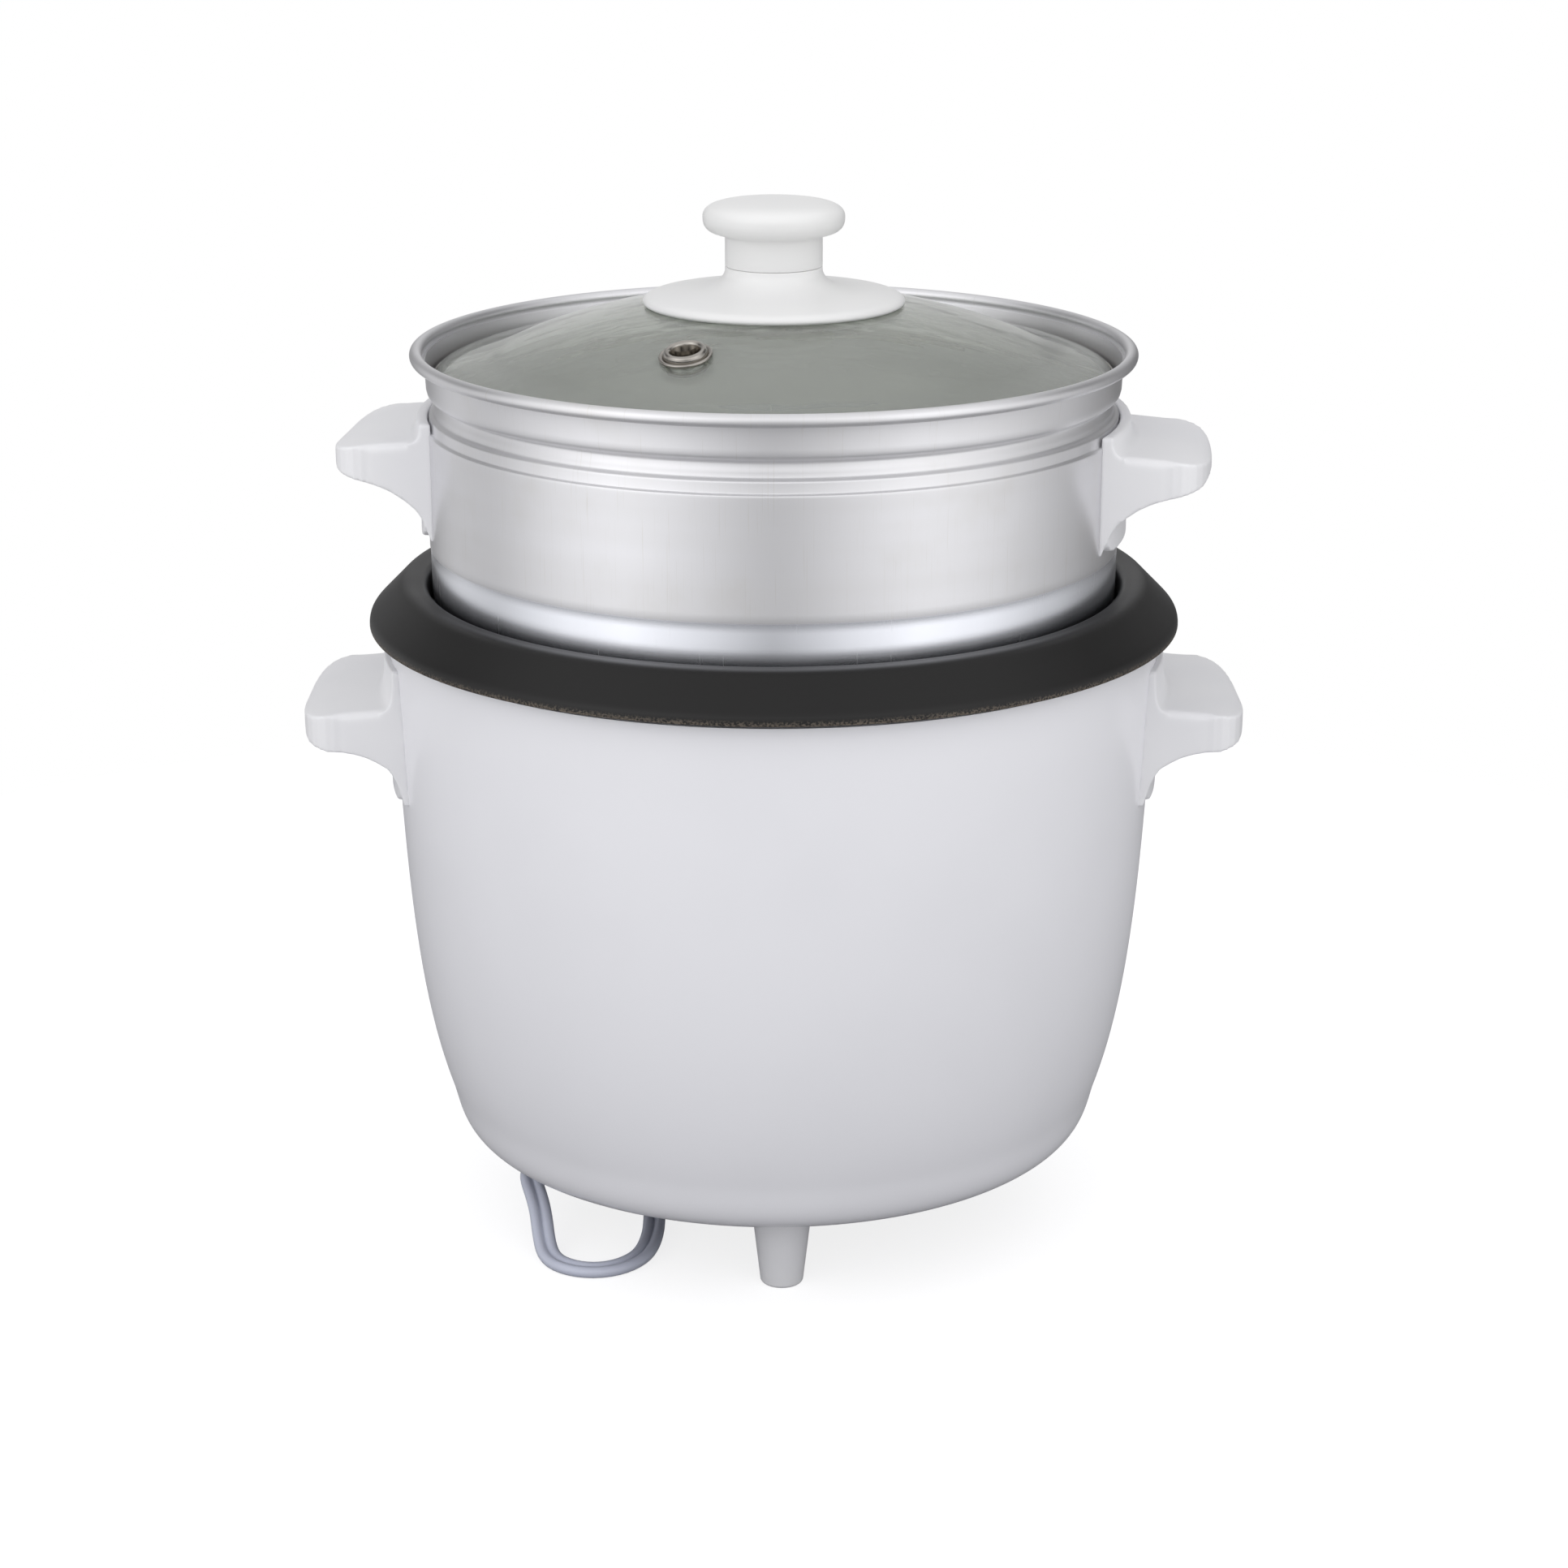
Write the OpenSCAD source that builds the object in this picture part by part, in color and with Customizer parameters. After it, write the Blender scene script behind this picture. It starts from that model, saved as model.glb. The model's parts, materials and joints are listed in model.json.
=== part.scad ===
// Drum rice cooker: a white drum with a heating plate and a magnetic
// thermostat, a non-stick pot, a steamer pan and a glass lid.
// Z is up and the origin is on the floor under the drum's centre.
// The plain side with the cord faces -Y and the lever faces +Y.

/* [Drum] */
// Outer radius of the drum at its top edge
drum_top_r = 110.1; // [109:0.1:111]
// Height of the drum's top edge
drum_top_z = 177; // [176:0.1:177.5]
// Height of the drum's underside
drum_floor_z = 24; // [23.8:0.1:24.3]
// Thickness of the drum's and the liner's sheet
sheet_t = 0.8; // [0.6:0.1:1]

/* [Feet] */
// Radius of the circle that the three feet stand on
foot_circle_r = 65; // [63:0.5:66]
// Radius of a foot where it meets the base plate
foot_top_r = 8; // [7:0.1:8.4]
// Radius of a foot on the floor
foot_tip_r = 6.1; // [5.6:0.1:6.6]

/* [Body handles] */
// Distance from the axis to a body handle's tip
body_grip_r = 134.6; // [128:0.2:140]
// Half of a body handle's width
body_grip_w = 33; // [30:0.5:37]
// Height of a body handle's upper face
body_grip_z = 157.6; // [156:0.2:159]

/* [Pot] */
// Outer radius of the pot's sloping rim
rim_r = 115.2; // [114.8:0.1:115.6]
// Height of the pot's rim
rim_z = 190.8; // [190.6:0.1:191]
// Height of the pot's underside
pot_floor_z = 60; // [60:0.1:60.5]
// Thickness of the pot's wall
pot_t = 1.4; // [1.2:0.1:1.6]

/* [Steamer] */
// Radius of the circle down the middle of the steamer's rolled edge
bead_r = 100; // [99.8:0.1:100.4]
// Height of the steamer's rolled edge
bead_z = 255.4; // [255:0.1:256]
// Radius of the steamer's side wall
steamer_r = 97.5; // [97.3:0.1:97.6]
// Turn of the steamer on the pot, in degrees
steamer_turn = -5.6; // [-12:0.2:12]
// Distance from the axis to a steamer handle's tip
steamer_grip_r = 123.4; // [118:0.2:128]
// Half of a steamer handle's width
steamer_grip_w = 31; // [26:0.5:32]
// Height of a steamer handle's upper face
steamer_grip_z = 231.6; // [231:0.2:232.8]

/* [Lid] */
// Radius of the glass
glass_r = 93.2; // [92.8:0.1:93.2]
// Radius of the glass dome's curve
dome_r = 206; // [204:0.5:210]
// Height of the glass's upper edge
glass_edge_z = 249; // [248.8:0.1:249.2]
// Thickness of the glass
glass_t = 4; // [3.8:0.1:4]
// Outer radius of the steam vent's eyelet
vent_r = 7.4; // [6.8:0.1:8]

/* [Knob] */
// Radius of the knob's cap
knob_r = 19.8; // [18:0.1:22]
// Height of the knob's top
knob_top_z = 296.9; // [296:0.1:300]
// Radius of the skirt under the knob
skirt_r = 36.8; // [34:0.1:38]

/* [Lever] */
// Turn of the cooking lever from warm to cook, in degrees
lever_turn = 10; // [8:0.5:10]

/* [Cord] */
// Width of the flat twin cord
cord_w = 6.6; // [6:0.1:6.8]
// Thickness of the flat twin cord
cord_t = 3.3; // [3:0.1:3.4]

/* [Hidden] */

$fn = 96;
gap = 0.05;        // clearance of a piece that is fixed on a curved wall

// Colours
painted = "#e2e2e6";
plastic = "#ececec";
nonstick = "#242423";
aluminium = "#b9babd";
steel = "#9a9ca0";
brass = "#b8963e";

// ---- outlines ----

// Points of a cubic curve from a to d, drawn towards b and c
function curve(a, b, c, d, n = 8) = [for (i = [0:n]) let (t = i / n, s = 1 - t)
    s * s * s * a + 3 * s * s * t * b + 3 * s * t * t * c + t * t * t * d];

// Points of an arc about c
function arc(c, r, from, to, n = 8) = [for (i = [0:n]) let (a = from + (to - from) * i / n)
    c + r * [cos(a), sin(a)]];

// An outline moved by t to the left of its own direction
function beside(p, t) = [for (i = [0:len(p) - 1])
    let (a = p[max(i - 1, 0)], b = p[min(i + 1, len(p) - 1)], d = (b - a) / norm(b - a))
    p[i] + t * [-d[1], d[0]]];

function reversed(p) = [for (i = [len(p) - 1:-1:0]) p[i]];

// An outline without its first or last points
function part_of(p, first, last) = [for (i = [first:last]) p[i]];

// A sheet of thickness t that follows an outline round the axis
module spun_sheet(p, t) {
    rotate_extrude() polygon(concat(p, reversed(beside(p, t))));
}

// The solid that an outline encloses round the axis
module spun_solid(p) {
    rotate_extrude() polygon(concat([[0, p[0][1]]], p, [[0, p[len(p) - 1][1]]]));
}

// ---- tubes along a route ----

function unit(v) = v / norm(v);
function heading(p, i) = unit(p[min(i + 1, len(p) - 1)] - p[max(i - 1, 0)]);

// An ellipse's points, w wide and t thick
function oval(w, t, n = 8) = [for (i = [0:n - 1]) let (a = (i + 0.5) * 360 / n) [w / 2 * cos(a), t / 2 * sin(a)]];

// A tube of section s swept along the points p; up says which way its thickness faces
module tube(p, s, up = [0, 0, 1]) {
    n = len(s);
    rings = [for (i = [0:len(p) - 1])
        let (h = heading(p, i), side = unit(cross(h, up)), top = cross(side, h))
        for (q = s) p[i] + q[0] * side + q[1] * top];
    walls = [for (i = [0:len(p) - 2]) for (j = [0:n - 1])
        let (a = i * n + j, b = i * n + (j + 1) % n) [a, a + n, b + n, b]];
    ends = [[for (j = [0:n - 1]) j], [for (j = [n - 1:-1:0]) (len(p) - 1) * n + j]];
    polyhedron(rings, concat(walls, ends));
}

// A coil spring on the Z axis
module coil_spring(r, wire_r, from_z, to_z, turns, steps = 14) {
    n = turns * steps;
    rise = to_z - from_z - 2 * wire_r;
    tube([for (i = [0:n]) [r * cos(i * 360 / steps), r * sin(i * 360 / steps), from_z + wire_r + rise * i / n]],
        oval(2 * wire_r, 2 * wire_r, 6));
}

// ---- the outlines of the main shells, from the inside or the bottom outwards ----

knuckle = [95.9, 42.4]; // where the drum's rounded bottom meets its side
drum_flange_r = 60;     // inner radius of the drum's bottom flange
drum_lip_r = 102;       // inner radius of the drum's top flange
drum_bottom = curve([72, drum_floor_z], [94.7, drum_floor_z], knuckle - [3, 9], knuckle, 12);
drum_side = curve(knuckle, knuckle + [11.2, 33.5], [drum_top_r - 2.8, 125], [drum_top_r, drum_top_z], 12);
drum_outline = concat([[drum_flange_r, drum_floor_z]], drum_bottom, part_of(drum_side, 1, 12),
    [[drum_lip_r, drum_top_z]]);

liner_floor_z = 46;
liner_corner_r = 14;
liner_r = 97.3;
liner_top_r = 99;
liner_bore_r = 24;
liner_flange_r = 108;
liner_outline = concat([[liner_bore_r, liner_floor_z]],
    arc([liner_r - liner_corner_r, liner_floor_z + liner_corner_r], liner_corner_r, -90, 0),
    [[liner_top_r, drum_top_z], [liner_flange_r, drum_top_z]]);

pot_corner_r = 20;
pot_wall_r = 92.5;
ledge_z = 184;          // height of the ledge that the steamer stands on
pot_inside_z = pot_floor_z + pot_t;
pot_outline = concat([[0, pot_inside_z]],
    arc([pot_wall_r - pot_corner_r, pot_inside_z + pot_corner_r], pot_corner_r, -90, 0),
    [[94, ledge_z - 1.4], [94.6, ledge_z - 0.2], [97, ledge_z + 0.1]],
    curve([97.6, ledge_z + 1.2], [98.3, rim_z - 2.4], [98.5, rim_z], [101, rim_z], 6),
    curve([103, rim_z - 0.5], [107.5, rim_z - 3.2], [rim_r - 1, rim_z - 8], [rim_r, rim_z - 11.9], 6));

steamer_t = 0.8;
steamer_floor_z = 172;
steamer_outline = concat([[0, steamer_floor_z]],
    arc([85.6, steamer_floor_z + 6], 6, -90, 0, 5),
    [[92.6, ledge_z - 0.6], [93.4, ledge_z + 0.2], [95, ledge_z + 0.4], [96, ledge_z + 1.4],
     [96.6, ledge_z + 4.6], [96.8, 192], [steamer_r - 0.3, 201], [steamer_r, 202], [steamer_r, 220],
     [steamer_r + 0.1, 234.5],
     [steamer_r + 0.1, 237], [steamer_r - 0.6, 239], [steamer_r - 2.1, 240.2],
     [steamer_r - 2.3, 241.6], [steamer_r - 1.9, 243.2], [steamer_r - 0.4, 244.6],
     [steamer_r - 0.1, 247], [bead_r - 2, bead_z - 3], [bead_r - 1.4, bead_z - 1]]);

// ---- drum, liner and base ----

panel_slot_w = 16;
panel_slot = [28.5, 52];    // lowest and highest point of the lever's slot
lens_r = 3.2;
lens_at = [26, 47];         // distance of an indicator from the lever, and its height
grip_screw_a = 9;           // turn of a handle's screws round the drum, from its middle
grip_screw_drop = 5.2;      // distance of the screws under a handle's upper face

// The cuts through the drum's wall for the lever and the two indicators
module panel_cuts(slot_w, hole_r) {
    translate([-slot_w / 2, 70, panel_slot[0]]) cube([slot_w, 60, panel_slot[1] - panel_slot[0]]);
    for (side = [-1, 1])
        translate([side * lens_at[0], 70, lens_at[1]]) rotate([-90, 0, 0]) cylinder(r = hole_r, h = 60);
}

// Points its children's Z outwards at each of the four screws of a pair of handles
module at_grip_screws(top_z, turn = 0) {
    for (a = [turn, turn + 180]) for (b = [-grip_screw_a, grip_screw_a])
        rotate(a + b) translate([0, 0, top_z - grip_screw_drop]) rotate([0, 90, 0]) children();
}

module outer_shell() {
    color(painted) difference() {
        spun_sheet(drum_outline, sheet_t);
        panel_cuts(panel_slot_w, lens_r + 0.1);
        at_grip_screws(body_grip_z) translate([0, 0, 90]) cylinder(r = 1.9, h = 30);
        at_feet() cylinder(r = 2.1, h = 30);
    }
}

element_r = 48;
element_end_a = 15;         // half of the gap between the element's two ends
plate_leg_r = 62;

module at_plate_legs() {
    for (a = [60, 180, 300]) rotate(a) translate([plate_leg_r, 0, 0]) children();
}

module at_element_ends() {
    for (a = [-element_end_a, element_end_a]) rotate(180 + a) translate([element_r, 0, 0]) children();
}

module inner_liner() {
    color(steel) difference() {
        spun_sheet(liner_outline, sheet_t);
        at_plate_legs() cylinder(r = 2.1, h = 60);
        at_element_ends() cylinder(r = 5.5, h = 60);
    }
}

base_t = 1.2;
base_z = drum_floor_z - base_t;     // underside of the base plate
relief_at = [-50, 8];       // where the cord comes up through the base plate

foot_angles = [-88, 32, 152];

module at_feet() {
    for (a = foot_angles) rotate(a) translate([foot_circle_r, 0, 0]) children();
}

module base_plate() {
    color(steel) difference() {
        translate([0, 0, base_z]) cylinder(r = 73, h = base_t);
        at_feet() cylinder(r = 2.1, h = 30);
        translate([relief_at[0], relief_at[1], 0]) cylinder(r = 8.1, h = 30);
        for (a = [0:30:330]) rotate(a) translate([30, 0, 0]) cylinder(r = 3, h = 30);
    }
}

// ---- feet ----

module foot(angle) {
    color(plastic) rotate(angle) translate([foot_circle_r, 0, 0]) difference() {
        rotate_extrude() polygon(concat([[0, 0], [foot_tip_r - 1.2, 0]],
            arc([foot_tip_r - 1.2, 1.2], 1.2, -90, -4, 5), [[foot_top_r, base_z], [0, base_z]]));
        cylinder(r = 2.1, h = 30);
        translate([0, 0, -1]) cylinder(r = 3.9, h = 9);
    }
}

module foot_front() { foot(foot_angles[0]); }
module foot_rear_right() { foot(foot_angles[1]); }
module foot_rear_left() { foot(foot_angles[2]); }

module foot_screws() {
    color(steel) at_feet() {
        translate([0, 0, 5.6]) cylinder(r = 3.5, h = 2.4);
        translate([0, 0, 7]) cylinder(r = 1.95, h = drum_floor_z - 2);
    }
}

module foot_nuts() {
    color(steel) at_feet() translate([0, 0, drum_floor_z + sheet_t]) difference() {
        cylinder(r = 4.04, h = 3.2, $fn = 6);
        translate([0, 0, -1]) cylinder(r = 2, h = 6);
    }
}

// ---- handles ----

grip_slope = 5;     // how far a handle's upper face slopes down outwards, in degrees
grip_crown = 1.6;   // height of the upper face at its root over the handle's stated height

// Height of a handle's upper face at distance x from the axis
function grip_top(x, root) = grip_crown - (x - root) * tan(grip_slope);

// The plan of a handle: straight sides and a squarish half ellipse for the tip
function grip_plan(tip, w) = concat([[60, -w]],
    [for (a = [-90:10:90]) [tip - 14 + 14 * pow(cos(a), 0.9), w * sign(a) * pow(abs(sin(a)), 0.9)]], [[60, w]]);

// The side view of a handle whose upper face starts at root; deep lowers the underside and
// belly thickens the outer half
function grip_side(tip, root, deep, belly) = concat([[60, grip_top(60, root)], [tip - 13, grip_top(tip - 13, root)]],
    curve([tip - 8, grip_top(tip - 8, root) - 0.2], [tip - 2, grip_top(tip - 2, root) - 0.6], [tip, -1.9], [tip, -4], 5),
    curve([tip, -5.6 - belly * 0.4], [tip - 1, -6.6 - belly * 0.7], [tip - 1.8, -6.9 - belly * 0.8],
        [tip - 2.8, -7.2 - deep * 0.3 - belly * 0.85], 3),
    curve([tip - 9, -8.4 - deep * 0.6 - belly], [root + 12, -8.6 - deep - belly * 0.9],
        [root + 7, -9.6 - deep - belly * 0.6], [root + 2.2, -13.4 - deep - belly * 0.2], 5),
    curve([root - 0.6, -15.6 - deep], [root - 2.6, -18 - deep], [root - 3.8, -21 - deep], [root - 5, grip_low - 0.5], 4),
    [[60, grip_low - 0.5]]);

grip_low = -26;     // lower end of a handle's flange under its upper face

// A rounded box as a YZ outline, from height a to height b
function strip(w, a, b, r) = concat(arc([w - r, a + r], r, -90, 0, 4), arc([w - r, b - r], r, 0, 90, 4),
    arc([-w + r, b - r], r, 90, 180, 4), arc([-w + r, a + r], r, 180, 270, 4));

// A handle for the +X side: a grip and a flange on the wall, whose outline wall gives.
// The flange rises to rise over the upper face, with a hollow fillet between the two.
module grip(tip, w, root, top_z, deep, belly, rise, wall) {
    difference() {
        translate([0, 0, top_z]) union() {
            intersection() {
                rotate([90, 0, 0]) translate([0, 0, -w - 1]) linear_extrude(2 * w + 2)
                    polygon(grip_side(tip, root, deep, belly));
                translate([0, 0, -40]) linear_extrude(60) polygon(grip_plan(tip, w));
                translate([root, 0, grip_crown]) rotate([0, grip_slope, 0]) translate([-60, 0, 0])
                    rotate([90, 0, 90]) linear_extrude(100) polygon(strip(w, -45, 0, 2.4));
            }
            intersection() {
                rotate_extrude() polygon(concat([[60, -3], [root + 5.6, -3], [root + 5.6, 1.05]],
                    curve([root + 5.6, 1.05], [root + 4, 1.2], [root + 2.8, 2.2], [root + 2.4, rise * 0.6], 4),
                    [[root + 2.2, rise], [60, rise]]));
                translate([60, 0, 0]) rotate([90, 0, 90]) linear_extrude(70) polygon(strip(w, -10, rise, 1.2));
            }
            intersection() {
                translate([0, 0, -top_z]) spun_solid(beside(wall, -2.6));
                translate([60, 0, 0]) rotate([90, 0, 90]) linear_extrude(70) polygon(strip(w, grip_low, -1, 6));
            }
        }
        spun_solid(beside(wall, -gap));
        at_grip_screws(top_z) translate([0, 0, 80]) cylinder(r = 1.45, h = root - 68);
    }
}

drum_wall = concat(drum_bottom, part_of(drum_side, 1, 12));
body_rise = 13;

module body_handle_left() {
    color(plastic) mirror([1, 0, 0]) grip(body_grip_r, body_grip_w, 109.6, body_grip_z, 0, 2.2, body_rise, drum_wall);
}

module body_handle_right() {
    color(plastic) grip(body_grip_r, body_grip_w, 109.6, body_grip_z, 0, 2.2, body_rise, drum_wall);
}

// A pan-head screw through the wall at wall_r into a handle
module grip_screw(wall_r) {
    translate([0, 0, wall_r - 2.2]) cylinder(r = 3.2, h = 2.2);
    translate([0, 0, wall_r - 1]) cylinder(r = 1.4, h = 11);
}

module body_handle_screws() {
    color(steel) at_grip_screws(body_grip_z) grip_screw(107.15);
}

// ---- heating plate ----

plate_z = 50;               // underside of the heating plate
plate_r = 74;
plate_bore_r = 17;
element_wire_r = 3.9;

module heating_plate() {
    color(aluminium) difference() {
        union() {
            translate([0, 0, plate_z]) rotate_extrude() polygon([[plate_bore_r, 0], [plate_r - 2, 0],
                [plate_r, 2], [plate_r, pot_floor_z - plate_z - 1.2], [plate_r - 1, pot_floor_z - plate_z - 0.1],
                [plate_bore_r, pot_floor_z - plate_z - 0.1]]);
            at_plate_legs() translate([0, 0, liner_floor_z + sheet_t]) cylinder(r = 5, h = 4);
        }
        rotate_extrude() translate([element_r - element_wire_r - 0.2, plate_z - 1])
            square([2 * element_wire_r + 0.4, 7.8]);
        at_plate_legs() cylinder(r = 1.5, h = 56);
    }
}

// The heater is a ring that is open on the terminal side, with its ends turned down
module heating_element() {
    z = plate_z + 2.6;
    color(steel) {
        translate([0, 0, z]) rotate(180 + element_end_a)
            rotate_extrude(angle = 360 - 2 * element_end_a) translate([element_r, 0]) circle(r = element_wire_r, $fn = 32);
        at_element_ends() translate([0, 0, 40]) {
            cylinder(r = 3, h = z - 40);
            translate([0, 0, -5]) cylinder(r = 1, h = 6);
        }
    }
}

module plate_screws() {
    color(steel) at_plate_legs() {
        translate([0, 0, liner_floor_z - 2.2]) cylinder(r = 3.2, h = 2.2);
        translate([0, 0, liner_floor_z - 1]) cylinder(r = 1.45, h = 9);
    }
}

// The keep-warm heater is a band round the liner
module warm_heater() {
    function liner_at(z) = liner_r + (liner_top_r - liner_r) * (z - 60) / (drum_top_z - 60);
    color("#8c7a52") rotate_extrude() polygon([[liner_at(95) + 2 * gap, 95], [liner_at(95) + 1.3, 95],
        [liner_at(120) + 1.3, 120], [liner_at(120) + 2 * gap, 120]]);
}

// ---- magnetic thermostat, in the middle of the heating plate ----

cap_r = 14.5;
cup_r = 20.5;
cup_z = 38.6;
cap_top_z = pot_floor_z - 0.1;
ferrite_z = 52.7;
magnet_z = 41.1;
magnet_h = 5;
collar_z = 31.6;            // underside of the rod's collar, which the lever lifts
arm_z = 29.2;               // underside of the lever's arm, and its thickness
arm_t = 1.5;

module thermostat_cup() {
    color(steel) difference() {
        translate([0, 0, cup_z]) cylinder(r = cup_r, h = plate_z - cup_z);
        translate([0, 0, cup_z + 1.2]) cylinder(r = cup_r - 1, h = 20);
        translate([0, 0, cup_z - 1]) cylinder(r = 2.58, h = 4);
        for (a = [0, 60, 120]) rotate(a) translate([-30, -4, cup_z + 3]) cube([60, 8, 7]);
    }
}

module sensor_cap() {
    color(aluminium) difference() {
        translate([0, 0, 43]) rotate_extrude() polygon([[0, 0], [cap_r, 0], [cap_r, cap_top_z - 44],
            [cap_r - 1, cap_top_z - 43], [0, cap_top_z - 43]]);
        translate([0, 0, 42]) cylinder(r = cap_r - 0.8, h = cap_top_z - 43.2);
    }
}

module ferrite_core() {
    color("#3a3a3c") translate([0, 0, ferrite_z]) cylinder(r = 13.5, h = cap_top_z - 1.2 - ferrite_z);
}

module sensor_spring() {
    color(steel) coil_spring(12.5, 0.45, cup_z + 1.2, ferrite_z, 5);
}

module magnet() {
    color("#3a3a3c") translate([0, 0, magnet_z]) cylinder(r = 10.5, h = magnet_h);
}

module magnet_rod() {
    color(brass) {
        translate([0, 0, 26]) cylinder(r = 2.5, h = magnet_z - 26);
        translate([0, 0, collar_z]) cylinder(r = 5, h = 1.6);
    }
}

module release_spring() {
    color(steel) coil_spring(5, 0.35, magnet_z + magnet_h, ferrite_z, 2);
}

// ---- cooking lever and its switch ----

pivot = [28, 34];           // Y and Z of the lever's pin
arm_w = 12;

module lever_bracket() {
    color(steel) difference() {
        union() {
            translate([-9.4, 23, liner_floor_z - 1.2]) cube([18.8, 10, 1.2]);
            for (x = [-9.4, 8.2]) translate([x, 23, 30]) cube([1.2, 10, liner_floor_z - 30]);
        }
        translate([-20, pivot[0], pivot[1]]) rotate([0, 90, 0]) cylinder(r = 1.55, h = 40);
    }
}

module lever_pin() {
    color(steel) translate([-10.4, pivot[0], pivot[1]]) rotate([0, 90, 0]) {
        cylinder(r = 1.5, h = 20.8);
        translate([0, 0, -1]) cylinder(r = 2.6, h = 1);
    }
}

// The arm runs from a fork round the magnet's rod to the knob in the drum's slot
module cook_lever() {
    run = [[-7, arm_z], [46, arm_z], [60, 33.5], [80, 41.5], [99, 41.5]];
    color(steel) difference() {
        union() {
            translate([-arm_w / 2, 0, 0]) rotate([90, 0, 90]) linear_extrude(arm_w)
                polygon(concat(run, reversed(beside(run, arm_t))));
            translate([-arm_w / 2, pivot[0], pivot[1]]) rotate([0, 90, 0]) cylinder(r = 3.2, h = arm_w);
            translate([-arm_w / 2, pivot[0] - 3.2, arm_z]) cube([arm_w, 6.4, pivot[1] - arm_z]);
        }
        translate([-20, pivot[0], pivot[1]]) rotate([0, 90, 0]) cylinder(r = 1.55, h = 40);
        hull() for (y = [-20, 0]) translate([0, y, 20]) cylinder(r = 3.4, h = 20);
    }
}

module lever_knob() {
    color(plastic) difference() {
        translate([0, 0, 36.8]) linear_extrude(11.4) polygon([[-10, 100.6], [10, 100.6], [10, 109.4],
            [8.6, 111.4], [5, 112.4], [-5, 112.4], [-8.6, 111.4], [-10, 109.4]]);
        translate([-arm_w / 2, 90, 41.5]) cube([arm_w, 16, arm_t]);
        translate([-20, 112.6, 44.6]) rotate([0, 90, 0]) cylinder(r = 2, h = 40);
    }
    color(steel) translate([-arm_w / 2, 99, 41.5]) cube([arm_w, 7, arm_t]);
}

switch_at = [0, 45];

module main_switch() {
    color("#2c2c2e") difference() {
        translate([-10, switch_at[1] - 7, 35.5]) cube([20, 14, liner_floor_z - 35.5]);
        translate([0, switch_at[1], 35]) cylinder(r = 2.15, h = 8);
    }
    color(brass) for (x = [-11.5, 10]) translate([x, switch_at[1] - 2, 40]) cube([1.5, 4, 3]);
}

module switch_plunger() {
    color("#b3302a") translate([0, switch_at[1], arm_z + arm_t + 0.4]) cylinder(r = 2, h = 9.6);
}

// ---- control panel on the +Y side ----

panel_w = 40;
panel_z = [30, 86];
panel_t = 2.6;

module control_panel() {
    mid_z = (panel_z[0] + panel_z[1]) / 2;
    color(plastic) difference() {
        intersection() {
            spun_solid(beside(drum_wall, -panel_t));
            translate([0, 130, mid_z]) rotate([90, 0, 0]) linear_extrude(80) polygon(concat(
                arc([panel_w - 10, panel_z[1] - mid_z - 10], 10, 0, 90, 5),
                arc([-panel_w + 10, panel_z[1] - mid_z - 10], 10, 90, 180, 5),
                arc([-panel_w + 16, panel_z[0] - mid_z + 10], 10, 180, 270, 5),
                arc([panel_w - 16, panel_z[0] - mid_z + 10], 10, 270, 360, 5)));
        }
        spun_solid(beside(drum_wall, -gap));
        panel_cuts(panel_slot_w, lens_r + 0.1);
    }
}

module lens(side) {
    translate([side * lens_at[0], 0, lens_at[1]]) rotate([-90, 0, 0]) rotate_extrude()
        polygon(concat([[0, 90.5], [lens_r, 90.5], [lens_r, 96]], arc([0, 92.7], 4.6, 46, 90, 5)));
}

module cook_lens() { color("#c8402c") lens(-1); }
module warm_lens() { color("#d99a2b") lens(1); }

module neon_lamps() {
    for (side = [-1, 1]) translate([side * lens_at[0], 84, 0]) {
        color("#d8d0c4") translate([0, 0, 34]) cylinder(r = 2.2, h = 9.5);
        color(steel) for (x = [-0.8, 0.8]) translate([x, 0, 29.6]) cylinder(r = 0.3, h = 4.6);
    }
}

// ---- wiring ----

fuse_at = [24, -38];

module thermal_fuse() {
    color(steel) translate([fuse_at[0] - 7, fuse_at[1], liner_floor_z - 3.2]) rotate([0, 90, 0]) {
        cylinder(r = 2, h = 14);
        translate([0, 0, -6]) cylinder(r = 0.5, h = 26);
    }
}

module fuse_clip() {
    color(steel) translate([fuse_at[0] - 3, fuse_at[1], 0]) difference() {
        translate([0, -5.5, liner_floor_z - 6]) cube([6, 11, 6]);
        translate([-1, 0, liner_floor_z - 3.2]) rotate([0, 90, 0]) cylinder(r = 2.05, h = 8);
        translate([-1, -6, liner_floor_z - 7]) cube([8, 3, 6]);
        translate([-1, 3, liner_floor_z - 7]) cube([8, 3, 6]);
    }
}

terminal_at = [-44, 18];

module terminal_block() {
    translate([terminal_at[0], terminal_at[1], drum_floor_z]) {
        color(plastic) difference() {
            cube([18, 12, 9]);
            for (x = [4.5, 13.5]) translate([x, -1, 5]) rotate([-90, 0, 0]) cylinder(r = 1.6, h = 14);
            for (x = [4.5, 13.5]) translate([x, 6, 6]) cylinder(r = 1.8, h = 5);
        }
        color(brass) for (x = [4.5, 13.5]) translate([x, 6, 6.4]) cylinder(r = 1.7, h = 2);
    }
}

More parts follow.
